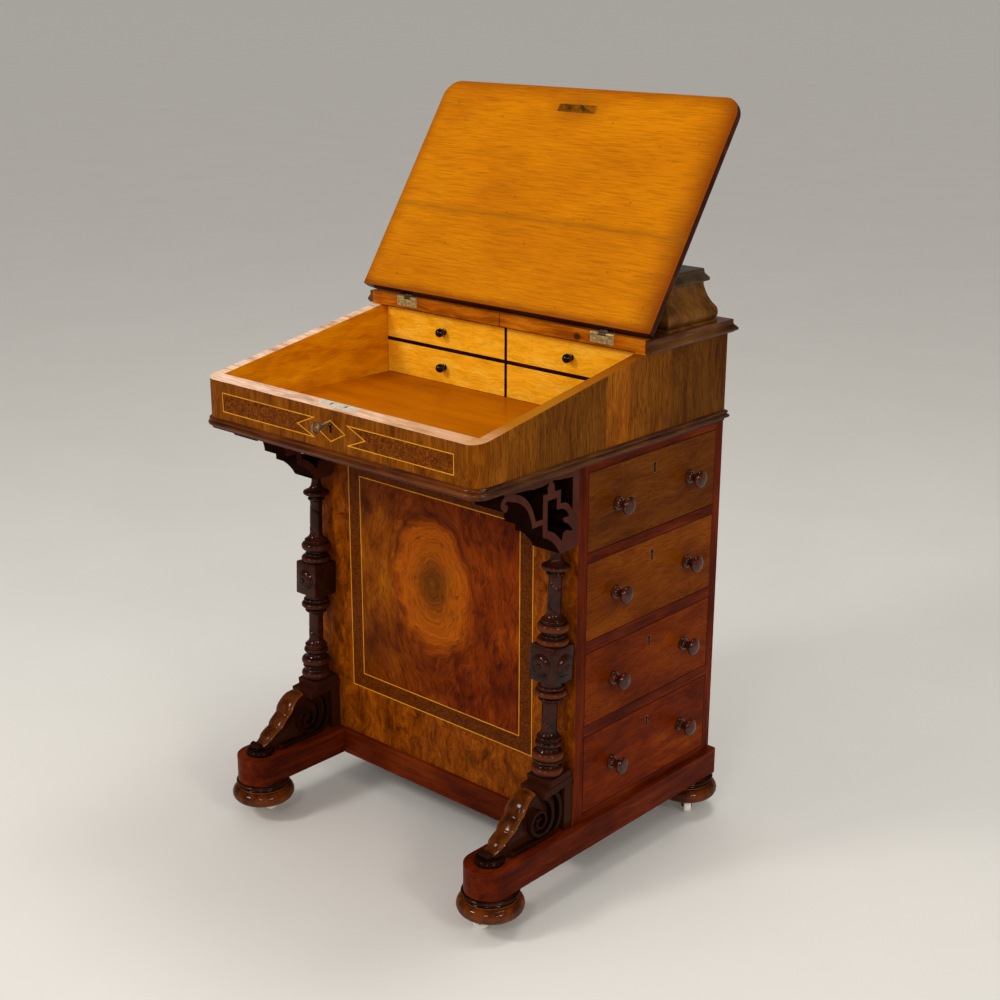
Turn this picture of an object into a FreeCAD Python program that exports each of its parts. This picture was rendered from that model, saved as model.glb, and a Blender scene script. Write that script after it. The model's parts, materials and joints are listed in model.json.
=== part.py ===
import FreeCAD, Part
import math
import os

V = FreeCAD.Vector

# A davenport: a small sloped writing desk on a chest of side drawers, with turned columns in front.
# Millimetres. x runs to the drawer side, y to the back, z up from the floor. Until the last step, y is
# measured from the back plane of the carcass, so most y values are negative.

# ---- heights, from the floor up ----
WHEEL_R = 13.0            # castor wheel radius
FOOT_CLEAR = 27.5         # floor to the underside of a bun foot
FOOT_H = 34.5             # bun foot with its collar bead
PLINTH_H = 41.8
CARCASS_H = 533.8
BOX_FRONT_H = 71.8        # writing box side at its front edge
PLATFORM_STEP = 1.5       # underside of the platform above the back end of the sloping rim
PLATFORM_T = 18.6

# ---- carcass and plinth ----
BOX_PROUD = 1.0           # the writing box stands this far out from each side of the carcass
CARCASS_D = 332.2
FRONT_T = 19.8            # front panel
BACK_T = 17.1             # back panel
CARCASS_TOP_T = 10.4
CARCASS_FLOOR_T = 11.0
SIDE_PANEL_T = 12.0       # backing panel of the left side
DUMMY_T = 14.0            # planted false fronts on it
PLINTH_W = 69.0
PLINTH_PROUD = 10.0       # plinth beyond the side of the carcass
PLINTH_FRONT = 187.2      # carcass front to the front tip of a plinth
PLINTH_BACK = 9.8         # plinth beyond the back plane
CROSS_RAIL_T = 20.0
CROSS_RAIL_PROUD = 6.0    # front cross rail stands proud of the front panel

# ---- feet and castors ----
FOOT_R = 48.0
FOOT_FRONT_IN = 39.5      # from a plinth's front tip back to the front foot's centre
FOOT_BACK_IN = 20.9       # from the back plane forward to the rear foot's centre
RECESS_R = 28.5
RECESS_H = 4.5
SOCKET_R = 6.5
SOCKET_PLATE_R = 20.0
SOCKET_PLATE_T = 2.0
SOCKET_L = 26.0
PINTLE_R = 3.95
RUNNING = 0.05            # radial clearance of a turning fit
WHEEL_W = 11.0
TRAIL = 13.0              # pintle axis to wheel axle
AXLE_R = 1.8
YOKE_T = 3.0
ARM_T = 2.0
SWIVEL = {"front_right": -124.0, "front_left": 88.0, "back_right": -45.0, "back_left": 200.0}

# ---- side drawers, top to bottom; the lowest one takes the height that is left ----
DRAWER_H = [113.8, 114.0, 109.7]
RAIL_H = [16.6, 19.1, 18.6]
DRAWER_GAP = 1.2          # seen round each drawer front
SLIDE = 0.3               # clearance of a moving face over its seat
DRAWER_SIDE_PLAY = 0.5
DRAWER_FRONT_T = 18.0
DRAWER_BACK_ROOM = 4.0    # behind a closed drawer
DRAWER_SIDE_T = 10.0
DRAWER_BOTTOM_T = 7.0
DRAWER_SIDE_DROP = 10.0   # drawer sides stop this far below the top of the front
RAIL_D = 30.0
RUNNER_W = 22.0
KNOB_IN = 0.215           # knob centres from each end, as a share of the front's width
KNOB_COLLAR_R = 9.8
KNOB_NECK_R = 6.2
KNOB_R = 13.0
KNOB_L = 26.5
KEYHOLE_W = 2.4
KEYHOLE_H = 15.0
LOCK_W = 44.0
LOCK_H = 36.0
LOCK_T = 9.0

# ---- writing box ----
BOX_W = 534.0
BOX_D = 532.2
BOX_WALL = 18.0
BOX_FRONT_T = 22.0
BOX_CORNER_R = 20.8
BOX_FLOOR_T = 22.4
MOULD_H = 16.1            # top of the lower moulding above the foot of the box
MOULD_UP = 3.6            # its lower edge above the foot of the box
MOULD_OUT = 5.7
DESK_TOP_D = 196.9        # from the back plane to the front of the platform
HINGE_RAIL_T = 12.5
PLAT_MOULD_OUT = 11.0
MITRE_REACH = 40.0        # a mitre's cutting wedge, well past both mouldings

# ---- nest of small drawers in the writing box ----
NEST_SETBACK = 14.0       # behind the platform's front
NEST_TOP_T = 4.4
NEST_SHELF_T = 5.0
NEST_POST_T = 4.0
NEST_LOWER_H = 51.0
SMALL_BACK_ROOM = 14.9    # behind a closed small drawer
SMALL_GAP = 0.6
SMALL_FRONT_T = 10.0
SMALL_SIDE_T = 6.0
SMALL_BOTTOM_T = 4.0
SMALL_KNOB_R = 6.8
SMALL_KNOB_L = 17.0

# ---- sloping lid ----
SLOPE = 9.9               # closed lid, degrees
LID_TRAVEL = 133.4        # from open to closed
LID_NOSE_OUT = 18.3       # closed lid beyond the front of the writing box, along the slope
LID_SIDE_OUT = 12.0       # and beyond each of its sides
LID_T = 18.0
LID_CORNER_R = 28.0
LID_NOSE_T = 7.5
LID_BEVEL = 10.0
LID_END_GAP = 6.1         # hinge axis to the lid's end
LID_AXIS_UP = 16.4        # hinge axis above the lid's inner face
LID_REST = 0.5            # closed lid over the rim
SKIVER_T = 0.8
SKIVER_MARGIN = 58.0
HINGE_R = 2.8
HINGE_PIN_R = 1.0
HINGE_W = 42.0
HINGE_IN = 76.0           # hinge centre in from the side of the writing box
HINGE_LEAF_T = 1.2
HINGE_LEAF_H = 13.0
HINGE_BACK = 2.5          # hinge axis behind the platform's front face
HINGE_NOTCH = 0.5         # room round the barrel in the hinge rail
LINK_W = 72.0             # link plate on the lid, and the lock's plate under it
LINK_D = 13.0
LINK_T = 1.5
HOOK_AT = 14.0            # its two hooks from the middle
HOOK_T = 2.0
HOOK_D = 5.0
HOOK_H = 10.2
HOOK_EYE_R = 1.4
HOOK_EYE_UP = 3.2         # eye above a hook's tip
HOOK_ROOM = 1.3           # round a hook in its slot

# ---- lock and key of the writing box ----
KEY_AXIS_UP = 52.4        # above the underside of the box
KEY_SHANK_R = 2.4
KEY_BOW_W = 15.0
KEY_BOW_H = 17.5
KEY_BOW_T = 3.0
KEY_STANDOUT = 33.2
BIT_R = 8.0
BIT_T = 2.4
BIT_L = 5.0
CASE_W = 60.0
CASE_T = 10.0
CASE_DROP = 8.0           # case below the bit's sweep
CASE_H = 35.4
CASE_WALL = 1.2
BOLT_H = 2.4
BOLT_T = 4.0
BOLT_RISE = 1.2           # bolt above the bit's sweep
BOLT_THROW = 7.0
PIN_R = 1.0
PIN_L = 7.4
PIN_LUG_T = 2.0

# ---- stationery box ----
STAT_BACK_IN = 22.9       # its flat back in front of the back plane
STAT_D = 92.0             # neck, front to back
STAT_END_IN = 30.0        # each end of its neck in from the side of the writing box
STAT_CASE_H = 55.7
STAT_WALL = 9.0
STAT_FLOOR_T = 6.0
STAT_DIVIDER_T = 5.0
STAT_LID_OUT = 10.5
STAT_LID_T = 17.3
STAT_HINGE_R = 2.0
STAT_HINGE_W = 36.0
STAT_HINGE_IN = 87.0      # hinge centre in from the end of the neck
STAT_LEAF_T = 1.0
STAT_LEAF_H = 14.0

# ---- columns, brackets and trusses ----
COLUMN_IN = 24.0          # column axis in from the side of the carcass
COLUMN_AHEAD = 23.2       # column axis in front of the carcass, at the middle of its block
COLUMN_LEAN = 2.46        # degrees, foot forward
COLUMN_BLOCK = 42.0
COLUMN_PLAIN_H = 332.6    # the height that its turning is drawn for; the plain shafts take what differs
LOWER_SHAFT_SHARE = 0.43  # of that difference
TRUSS_W = 43.0
TRUSS_CAP_H = 10.0
TRUSS_H = 91.2
TRUSS_REACH = 173.5       # its front tip ahead of the carcass
BRACKET_W = 48.0
BRACKET_H = 110.0

# ---- worked-out levels and planes ----
RISE = math.tan(math.radians(SLOPE))
BOX_BACK_H = BOX_FRONT_H + (BOX_D - DESK_TOP_D) * RISE + PLATFORM_STEP
FOOT_TOP = FOOT_CLEAR + FOOT_H
CARCASS_Z = FOOT_TOP + PLINTH_H
BOX_Z = CARCASS_Z + CARCASS_H
WELL_Z = BOX_Z + BOX_FLOOR_T
PLATFORM_Z = BOX_Z + BOX_BACK_H
TOP_Z = PLATFORM_Z + PLATFORM_T
BOX_HALF = BOX_W / 2
SMALL_L = DESK_TOP_D - NEST_SETBACK - BOX_WALL - SMALL_BACK_ROOM
HALF = BOX_HALF - BOX_PROUD
DRAWER_L = 2 * HALF - DUMMY_T - SIDE_PANEL_T - DRAWER_BACK_ROOM
PLINTH_AT = HALF + PLINTH_PROUD - PLINTH_W / 2
COLUMN_AT = HALF - COLUMN_IN
HINGE_AT = BOX_HALF - HINGE_IN
STAT_NECK_HALF = BOX_HALF - STAT_END_IN
LID_HALF = BOX_HALF + LID_SIDE_OUT
CARCASS_FRONT = -CARCASS_D
BOX_FRONT = -BOX_D
DESK_TOP_FRONT = -DESK_TOP_D
INNER_FRONT = CARCASS_FRONT + FRONT_T
INNER_BACK = -BACK_T
FOOT_FRONT_Y = CARCASS_FRONT - PLINTH_FRONT + FOOT_FRONT_IN
FOOT_BACK_Y = -FOOT_BACK_IN
STAT_BACK = -STAT_BACK_IN
STAT_FRONT = STAT_BACK - STAT_D
# The origin is the middle of the whole footprint, key bow and rear feet included.
SET_FORWARD = -(BOX_FRONT - KEY_STANDOUT + FOOT_BACK_Y + FOOT_R) / 2


def box(x, y, z):
    """A block between two limits along each axis."""
    return Part.makeBox(x[1] - x[0], y[1] - y[0], z[1] - z[0], V(x[0], y[0], z[0]))


def rod(start, direction, radius, length):
    return Part.makeCylinder(radius, length, V(*start), V(*direction))


def outline(points):
    """A closed wire from corner points; a point held in a pair is reached by an arc through the first."""
    edges = []
    last = points[0]
    for item in points[1:] + [points[0]]:
        if isinstance(item, tuple):
            # As a spline, an arc can be turned round an axis that its circle crosses.
            edges.append(Part.Arc(last, item[0], item[1]).toBSpline().toShape())
            last = item[1]
        elif (item - last).Length > 1e-6:
            edges.append(Part.LineSegment(last, item).toShape())
            last = item
    return Part.Wire(edges)


def lift(point, to_space):
    """One outline entry, or an arc's pair of entries, moved from the drawing plane into space."""
    if isinstance(point[0], (tuple, list)):
        return tuple(to_space(*p) for p in point)
    return to_space(*point)


def prism(points, axis, limits):
    """A drawing extruded along an axis: it is drawn in (y, z), (x, z) or (x, y)."""
    start, end = limits
    spaces = {"x": lambda a, b: V(start, a, b),
              "y": lambda a, b: V(a, start, b),
              "z": lambda a, b: V(a, b, start)}
    along = {"x": V(end - start, 0, 0), "y": V(0, end - start, 0), "z": V(0, 0, end - start)}
    wire = outline([lift(p, spaces[axis]) for p in points])
    return Part.Face(wire).extrude(along[axis])


def turned(path, x=0.0, y=0.0, z=0.0):
    """A turned solid about an upright axis, from (radius, height) corners and arcs."""
    wire = outline([lift(p, lambda r, h: V(r, 0, h)) for p in path])
    solid = Part.Face(wire).revolve(V(0, 0, 0), V(0, 0, 1), 360)
    solid = Part.Solid(Part.Shell(solid.Faces))
    if solid.Volume < 0:
        solid.reverse()
    solid.translate(V(x, y, z))
    return solid


def fused(first, *rest):
    return first.fuse(list(rest)).removeSplitter().Solids[0]


def mirrored(shape):
    return shape.mirror(V(0, 0, 0), V(1, 0, 0))


def both(shape):
    """A piece and its twin on the other side of the desk."""
    return [shape, mirrored(shape)]


def export(name, *solids):
    """Writes one sub-component, set down so that the origin is under the middle of the desk."""
    placed = []
    for solid in solids:
        piece = solid.copy()
        piece.translate(V(0, SET_FORWARD, 0))
        placed.append(piece)
    shape = placed[0] if len(placed) == 1 else Part.makeCompound(placed)
    shape.exportStep("parts/" + name + ".step")
    print(name, len(placed), "solid(s)", round(sum(p.Volume for p in placed) / 1000, 1), "cm3")


def edges_at(shape, test):
    return [e for e in shape.Edges if test(e.BoundBox)]


# ---- feet, castors and plinths ----

def bun_foot(x, y):
    collar = 11.0
    neck = FOOT_H - collar
    half = (neck - 1.5) / 2
    foot = turned([(0, 0), (FOOT_R - half, 0), ((FOOT_R, half), (FOOT_R - half, 2 * half)), (38, 2 * half),
                   (38, neck), (36, neck), ((35.2, neck + 2.5), (36, neck + 5)), (40, neck + 5),
                   ((41.5, neck + 7), (40, neck + 9)), (36, neck + 9),
                   (36, FOOT_H), (0, FOOT_H)], x, y, FOOT_CLEAR)
    recess = rod((x, y, FOOT_CLEAR), (0, 0, 1), RECESS_R, RECESS_H)
    bore = rod((x, y, FOOT_CLEAR), (0, 0, 1), SOCKET_R, RECESS_H + SOCKET_L)
    return foot.cut(recess).cut(bore).Solids[0]


def castor_socket(x, y):
    seat = FOOT_CLEAR + RECESS_H
    tube = rod((x, y, seat), (0, 0, 1), SOCKET_R, SOCKET_L)
    plate = rod((x, y, seat - SOCKET_PLATE_T), (0, 0, 1), SOCKET_PLATE_R, SOCKET_PLATE_T)
    bore = rod((x, y, seat - SOCKET_PLATE_T), (0, 0, 1), PINTLE_R + RUNNING, SOCKET_L)
    return fused(tube, plate).cut(bore).Solids[0]


def castor_horn():
    """The brass horn, drawn trailing along +x from a pintle at the origin."""
    top = FOOT_CLEAR + RECESS_H - SOCKET_PLATE_T - SLIDE
    arm_in = WHEEL_W / 2 + SLIDE
    arm_out = arm_in + ARM_T
    pintle = rod((0, 0, top - 1), (0, 0, 1), PINTLE_R, SOCKET_L - 1)
    yoke = box((-8, 19), (-arm_out, arm_out), (top - YOKE_T, top))
    yoke = yoke.makeFillet(5, edges_at(yoke, lambda b: b.ZLength > YOKE_T - 0.1))
    side = [(-7, top), (18.5, top), (TRAIL + 5, WHEEL_R - 3.5), (TRAIL - 4, WHEEL_R - 3.5), (0, top - 7),
            (-7, top - 4)]
    arms = [prism(side, "y", (arm_in, arm_out)), prism(side, "y", (-arm_out, -arm_in))]
    axle = rod((TRAIL, -arm_out, WHEEL_R), (0, 1, 0), AXLE_R, 2 * arm_out)
    trim = rod((0, 0, 0), (0, 0, 1), RECESS_R - 4, top + SOCKET_L)
    return fused(fused(pintle, yoke, *arms, axle).common(trim).Solids[0])


def castor_wheel():
    wheel = rod((TRAIL, -WHEEL_W / 2, WHEEL_R), (0, 1, 0), WHEEL_R, WHEEL_W)
    wheel = wheel.makeFillet(2.2, [e for e in wheel.Edges if e.BoundBox.YLength < 0.1])
    return wheel.cut(rod((TRAIL, -WHEEL_W, WHEEL_R), (0, 1, 0), AXLE_R + RUNNING, 2 * WHEEL_W)).Solids[0]


def plinth():
    """The right-hand plinth: a long sledge foot, round at the front."""
    r = PLINTH_W / 2
    x = PLINTH_AT
    front = CARCASS_FRONT - PLINTH_FRONT + r
    shape = prism([(x - r, front), ((x, front - r), (x + r, front)), (x + r, PLINTH_BACK),
                   (x - r, PLINTH_BACK)],
                  "z", (FOOT_TOP, FOOT_TOP + PLINTH_H))
    back = edges_at(shape, lambda b: b.ZLength > 1 and b.YMin > PLINTH_BACK - 1 and b.XLength < 1)
    return shape.makeFillet(6, back)


def cross_rail(front):
    half = PLINTH_AT - PLINTH_W / 2
    return box((-half, half), (front, front + CROSS_RAIL_T), (FOOT_TOP, CARCASS_Z))


FEET = {"front_right": (PLINTH_AT, FOOT_FRONT_Y), "front_left": (-PLINTH_AT, FOOT_FRONT_Y),
        "back_right": (PLINTH_AT, FOOT_BACK_Y), "back_left": (-PLINTH_AT, FOOT_BACK_Y)}


def make_base():
    export("plinths", *both(plinth()), cross_rail(CARCASS_FRONT - CROSS_RAIL_PROUD),
           cross_rail(-CROSS_RAIL_T))
    export("bun_feet", *[bun_foot(x, y) for x, y in FEET.values()])
    export("castor_sockets", *[castor_socket(x, y) for x, y in FEET.values()])
    for corner, (x, y) in FEET.items():
        for name, shape in (("castor_horn_", castor_horn()), ("castor_wheel_", castor_wheel())):
            shape.rotate(V(0, 0, 0), V(0, 0, 1), SWIVEL[corner])
            shape.translate(V(x, y, 0))
            export(name + corner, shape)


# ---- carcass and side drawers ----

def drawer_levels():
    """Bottom and top of each of the four drawer fronts."""
    levels = []
    top = BOX_Z - CARCASS_TOP_T - DRAWER_GAP
    for height, rail in zip(DRAWER_H, RAIL_H):
        levels.append((top - height, top))
        top -= height + rail
    levels.append((CARCASS_Z + CARCASS_FLOOR_T + DRAWER_GAP, top))
    return levels


LEVELS = drawer_levels()
FRONT_Y = (INNER_FRONT + DRAWER_GAP, INNER_BACK - DRAWER_GAP)


def knob(at, direction, radius, length, collar, neck):
    """A turned knob standing out from a face, drawn upright and laid over."""
    head = 0.62 * length
    shape = turned([(0, 0), (collar, 0), ((collar + 0.6, 0.06 * length), (collar, 0.13 * length)),
                    (neck, 0.2 * length), ((neck - 0.8, 0.34 * length), (neck, 0.48 * length)),
                    (0.75 * radius, 0.52 * length),
                    ((radius, head + 0.1 * length), (0.72 * radius, 0.9 * length)),
                    ((0.4 * radius, 0.985 * length), (0, length))])
    turn = FreeCAD.Rotation(V(0, 0, 1), V(*direction))
    shape.Placement = FreeCAD.Placement(V(*at), turn)
    return shape


def keyhole(y, z, x_out, depth):
    """A round-topped slit cut into a drawer front from its outer face."""
    r = 0.8 * KEYHOLE_W
    slit = box((x_out - depth, x_out), (y - KEYHOLE_W / 2, y + KEYHOLE_W / 2),
               (z - KEYHOLE_H / 2, z + KEYHOLE_H / 2 - r))
    return fused(slit, rod((x_out - depth, y, z + KEYHOLE_H / 2 - r), (1, 0, 0), r, depth))


def knob_places(level):
    low, high = level
    width = FRONT_Y[1] - FRONT_Y[0]
    middle = (low + high) / 2
    return [(FRONT_Y[0] + KNOB_IN * width, middle), (FRONT_Y[1] - KNOB_IN * width, middle)]


def drawer_front(level):
    low, high = level
    board = box((HALF - DRAWER_FRONT_T, HALF), FRONT_Y, level)
    middle_y = (FRONT_Y[0] + FRONT_Y[1]) / 2
    return board.cut(keyhole(middle_y, high - 24, HALF, DRAWER_FRONT_T)).Solids[0]


def drawer_box(level):
    """Two sides, a back and a bottom behind a drawer's front, resting on the runners."""
    low, high = level
    seat = low - DRAWER_GAP + SLIDE
    y0 = INNER_FRONT + DRAWER_SIDE_PLAY
    y1 = INNER_BACK - DRAWER_SIDE_PLAY
    x0 = HALF - DRAWER_L
    x1 = HALF - DRAWER_FRONT_T
    z1 = high - DRAWER_SIDE_DROP
    floor = seat + DRAWER_BOTTOM_T
    return [box((x0, x1), (y0, y0 + DRAWER_SIDE_T), (seat, z1)),
            box((x0, x1), (y1 - DRAWER_SIDE_T, y1), (seat, z1)),
            box((x0, x0 + DRAWER_SIDE_T), (y0 + DRAWER_SIDE_T, y1 - DRAWER_SIDE_T), (floor, z1)),
            box((x0, x1), (y0 + DRAWER_SIDE_T, y1 - DRAWER_SIDE_T), (seat, floor))]


def drawer_fittings(level):
    low, high = level
    knobs = [knob((HALF, y, z), (1, 0, 0), KNOB_R, KNOB_L, KNOB_COLLAR_R, KNOB_NECK_R) for y,
             z in knob_places(level)]
    middle_y = (FRONT_Y[0] + FRONT_Y[1]) / 2
    back = HALF - DRAWER_FRONT_T
    case = box((back - LOCK_T, back), (middle_y - LOCK_W / 2, middle_y + LOCK_W / 2),
               (high - DRAWER_SIDE_DROP - LOCK_H, high - DRAWER_SIDE_DROP))
    return knobs + [case]


def rail_levels():
    """The cross rails between the drawers, clear of both fronts."""
    return [(LEVELS[i + 1][1] + DRAWER_GAP, LEVELS[i][0] - DRAWER_GAP) for i in range(3)]


def make_carcass():
    inner = (INNER_FRONT, INNER_BACK)
    export("front_panel", box((-HALF, HALF), (CARCASS_FRONT, INNER_FRONT), (CARCASS_Z, BOX_Z)))
    export("back_panel", box((-HALF, HALF), (INNER_BACK, 0), (CARCASS_Z, BOX_Z)))
    export("carcass_boards",
           box((-HALF, HALF), inner, (BOX_Z - CARCASS_TOP_T, BOX_Z)),
           box((-HALF, HALF), inner, (CARCASS_Z, CARCASS_Z + CARCASS_FLOOR_T)))
    panel_x = (-HALF + DUMMY_T, -HALF + DUMMY_T + SIDE_PANEL_T)
    panel_z = (CARCASS_Z + CARCASS_FLOOR_T, BOX_Z - CARCASS_TOP_T)
    rails = [box((HALF - RAIL_D, HALF), inner, z) for z in rail_levels()]
    runners = []
    for z in rail_levels():
        for y in ((INNER_FRONT, INNER_FRONT + RUNNER_W), (INNER_BACK - RUNNER_W, INNER_BACK)):
            runners.append(box((panel_x[1], HALF - RAIL_D), y, z))
    export("drawer_rails", *rails, *runners)
    planted = [box((-HALF, panel_x[0]), inner, z) for z in rail_levels()]
    export("left_side_panel", box(panel_x, inner, panel_z), *planted)
    export("dummy_drawer_fronts", *[box((-HALF, panel_x[0]), FRONT_Y, level) for level in LEVELS])
    dummies = [knob((-HALF, y, z), (-1, 0, 0), KNOB_R, KNOB_L, KNOB_COLLAR_R, KNOB_NECK_R)
               for level in LEVELS for y, z in knob_places(level)]
    export("dummy_drawer_knobs", *dummies)
    for number, level in enumerate(LEVELS, 1):
        export(f"drawer_{number}_front", drawer_front(level))
        export(f"drawer_{number}_box", *drawer_box(level))
        export(f"drawer_{number}_fittings", *drawer_fittings(level))


# ---- writing box ----

def rim_z(y):
    """Height of the sloping rim at a depth."""
    return BOX_Z + BOX_FRONT_H + (y - BOX_FRONT) * RISE


def rim_cut():
    """Everything above the sloping rim, in front of the platform."""
    far = BOX_FRONT - 60
    return prism([(far, rim_z(far)), (DESK_TOP_FRONT, rim_z(DESK_TOP_FRONT)), (DESK_TOP_FRONT, TOP_Z + 200),
                  (far, TOP_Z + 200)],
                 "x", (-BOX_W, BOX_W))


CASE_Y = (BOX_FRONT + BOX_FRONT_T - CASE_T, BOX_FRONT + BOX_FRONT_T)
KEY_Z = BOX_Z + KEY_AXIS_UP
CASE_Z = (KEY_Z - BIT_R - CASE_DROP, KEY_Z - BIT_R - CASE_DROP + CASE_H)
BOLT_Z = (KEY_Z + BIT_R + BOLT_RISE, KEY_Z + BIT_R + BOLT_RISE + BOLT_H)
LINK_Y = BOX_FRONT + BOX_FRONT_T - LINK_D / 2
HOOK_Y = BOX_FRONT + BOX_FRONT_T - CASE_T / 2


def tilted_plate(width, depth, thick, grow=0.0):
    """A plate let in flush with the sloping rim, over the lock."""
    plate = box((-width / 2, width / 2), (-depth / 2, depth / 2), (-thick, grow))
    plate.rotate(V(0, 0, 0), V(1, 0, 0), SLOPE)
    plate.translate(V(0, LINK_Y, rim_z(LINK_Y)))
    return plate


def hook_slots():
    """Slots in the rim for the link plate's hooks, sloping with the closed lid."""
    slots = []
    deep = HOOK_D / 2 + HOOK_ROOM
    wide = HOOK_T / 2 + HOOK_ROOM
    for x in (-HOOK_AT, HOOK_AT):
        slot = box((x - wide, x + wide), (HOOK_U - deep, HOOK_U + deep),
                   (INNER_FACE - HOOK_H - HOOK_ROOM, INNER_FACE + 2))
        slots.append(closed_lid(slot))
    return slots


def front_rail():
    """The front of the writing box, with rounded ends and its lock let in."""
    y0, y1 = BOX_FRONT, BOX_FRONT + BOX_FRONT_T
    r = BOX_CORNER_R
    rail = box((-BOX_HALF, BOX_HALF), (y0, y1), (BOX_Z, TOP_Z))
    rail = rail.makeFillet(r, edges_at(rail, lambda b: b.ZLength > 50 and b.YMax < y0 + 1))
    rail = rail.cut(rim_cut())
    rail = rail.cut(box((-CASE_W / 2, CASE_W / 2), CASE_Y, CASE_Z))
    rail = rail.cut(tilted_plate(LINK_W, LINK_D, LINK_T, 1))
    for slot in hook_slots():
        rail = rail.cut(slot)
    rail = rail.cut(rod((0, y0 - 1, KEY_Z), (0, 1, 0), KEY_SHANK_R + 0.8, BOX_FRONT_T))
    rail = rail.cut(box((-KEYHOLE_W / 2 - 0.4, KEYHOLE_W / 2 + 0.4), (y0 - 1, CASE_Y[0] + 0.5),
                        (KEY_Z - BIT_R - 2, KEY_Z)))
    return rail.Solids[0]


def box_walls():
    y0 = BOX_FRONT + BOX_FRONT_T
    side = box((BOX_HALF - BOX_WALL, BOX_HALF), (y0, 0), (BOX_Z, PLATFORM_Z)).cut(rim_cut()).Solids[0]
    back = box((-BOX_HALF + BOX_WALL, BOX_HALF - BOX_WALL), (-BOX_WALL, 0), (BOX_Z, PLATFORM_Z))
    return both(side) + [back]


def mitre():
    """Wedges that trim a side and a back length of moulding to a mitre at the right back corner."""
    near, far = (BOX_HALF - MITRE_REACH, -MITRE_REACH), (BOX_HALF + MITRE_REACH, MITRE_REACH)
    z = (BOX_Z - 5, TOP_Z + 5)
    return (prism([near, far, (near[0], far[1])], "z", z), prism([near, far, (far[0], near[1])], "z", z))


def lower_moulding():
    """A reeded moulding planted round the foot of the box, round at the front corners."""
    r = BOX_CORNER_R
    h, out = MOULD_H - MOULD_UP, MOULD_OUT
    x, y, z = BOX_HALF, BOX_FRONT, BOX_Z + MOULD_UP
    end = out + 5
    path = Part.Wire([Part.LineSegment(V(x, end, z), V(x, y + r, z)).toShape(),
                      Part.Arc(V(x, y + r, z),
                               V(x - r * (1 - math.sqrt(0.5)), y + r * (1 - math.sqrt(0.5)), z),
                               V(x - r, y, z)).toShape(),
                      Part.LineSegment(V(x - r, y, z), V(-x + r, y, z)).toShape(),
                      Part.Arc(V(-x + r, y, z),
                               V(-x + r * (1 - math.sqrt(0.5)), y + r * (1 - math.sqrt(0.5)), z),
                               V(-x, y + r, z)).toShape(),
                      Part.LineSegment(V(-x, y + r, z), V(-x, end, z)).toShape()])
    section = [(0, 0), (out - 2, 0), ((out, 0.28 * h), (out - 1.6, 0.54 * h)),
               ((out - 1.4, 0.74 * h), (out - 3.2, 0.92 * h)),
               (out - 4, h), (0, h)]
    wire = outline([lift(p, lambda a, b: V(x + a, end, z + b)) for p in section])
    pipe = path.makePipeShell([wire], True, False)
    if pipe.Volume < 0:
        pipe.reverse()
    cuts = []
    for sign in (1, -1):
        at = V(sign * (x - r), y + r, z)
        slab = box((0, 200), (-200, 0), (-5, h + 5))
        slab.rotate(V(0, 0, 0), V(0, 0, 1), 0 if sign > 0 else -90)
        slab.translate(at)
        cuts.append(slab)
    behind, ahead = mitre()
    corners = [pipe.common(c).Solids[0] for c in cuts]
    straight = pipe.cut(cuts[0]).cut(cuts[1]).cut(behind).cut(mirrored(behind)).Solids
    back = prism([lift(p, lambda a, b: (a, z + b)) for p in section], "x", (-x - out, x + out))
    return straight + corners + [back.cut(ahead).cut(mirrored(ahead)).Solids[0]]


def platform_moulding():
    """An ovolo and cove moulding along the sides and back of the platform, mitred at the back corners."""
    out, h = PLAT_MOULD_OUT, PLATFORM_T
    section = [(0, 0), (out - 2, 0), ((out, 0.18 * h), (out - 1.5, 0.46 * h)),
               ((out - 5, 0.56 * h), (out - 6.6, 0.8 * h)),
               (out - 6.8, h), (0, h)]
    side = prism([lift(p, lambda a, b: (BOX_HALF + a, PLATFORM_Z + b)) for p in section], "y",
                 (DESK_TOP_FRONT, out + 5))
    back = prism([lift(p, lambda a, b: (a, PLATFORM_Z + b)) for p in section], "x",
                 (-BOX_HALF - out, BOX_HALF + out))
    behind, ahead = mitre()
    side = side.cut(behind).Solids[0]
    back = back.cut(ahead).cut(mirrored(ahead)).Solids[0]
    return both(side) + [back]


AXIS_Y = DESK_TOP_FRONT + HINGE_BACK
SIN = math.sin(math.radians(SLOPE))
COS = math.cos(math.radians(SLOPE))
# The closed lid lies along the rim, LID_REST above it.
LID_END_Y = AXIS_Y - LID_END_GAP * COS + LID_AXIS_UP * SIN
AXIS_Z = rim_z(LID_END_Y) + LID_REST / COS + LID_END_GAP * SIN + LID_AXIS_UP * COS
INNER_FACE = -LID_AXIS_UP
OUTER_FACE = LID_T - LID_AXIS_UP
LID_L = (LID_END_Y - BOX_FRONT) / COS + LID_NOSE_OUT
LID_Y = (-LID_END_GAP - LID_L, -LID_END_GAP)


def along_lid(y):
    """Where a point of the rim lies along the closed lid."""
    return (y - AXIS_Y) * COS + (rim_z(y) - AXIS_Z) * SIN


# The link plate on the lid comes down over the lock's plate, and its hooks into the middle of the lock.
LINK_U = along_lid(LINK_Y)
HOOK_U = along_lid(HOOK_Y) - HOOK_H / 2 * SIN


def hung(shape, angle):
    """A piece of the lid, drawn about its hinge, turned and set down on the hinge axis."""
    piece = shape.copy()
    piece.rotate(V(0, 0, 0), V(1, 0, 0), angle)
    piece.translate(V(0, AXIS_Y, AXIS_Z))
    return piece


def open_lid(shape):
    return hung(shape, SLOPE - LID_TRAVEL)


def closed_lid(shape):
    return hung(shape, SLOPE)


HINGES = [(x - HINGE_W / 2, x + HINGE_W / 2) for x in (-HINGE_AT, HINGE_AT)]
KNUCKLE = HINGE_W / 3


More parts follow.
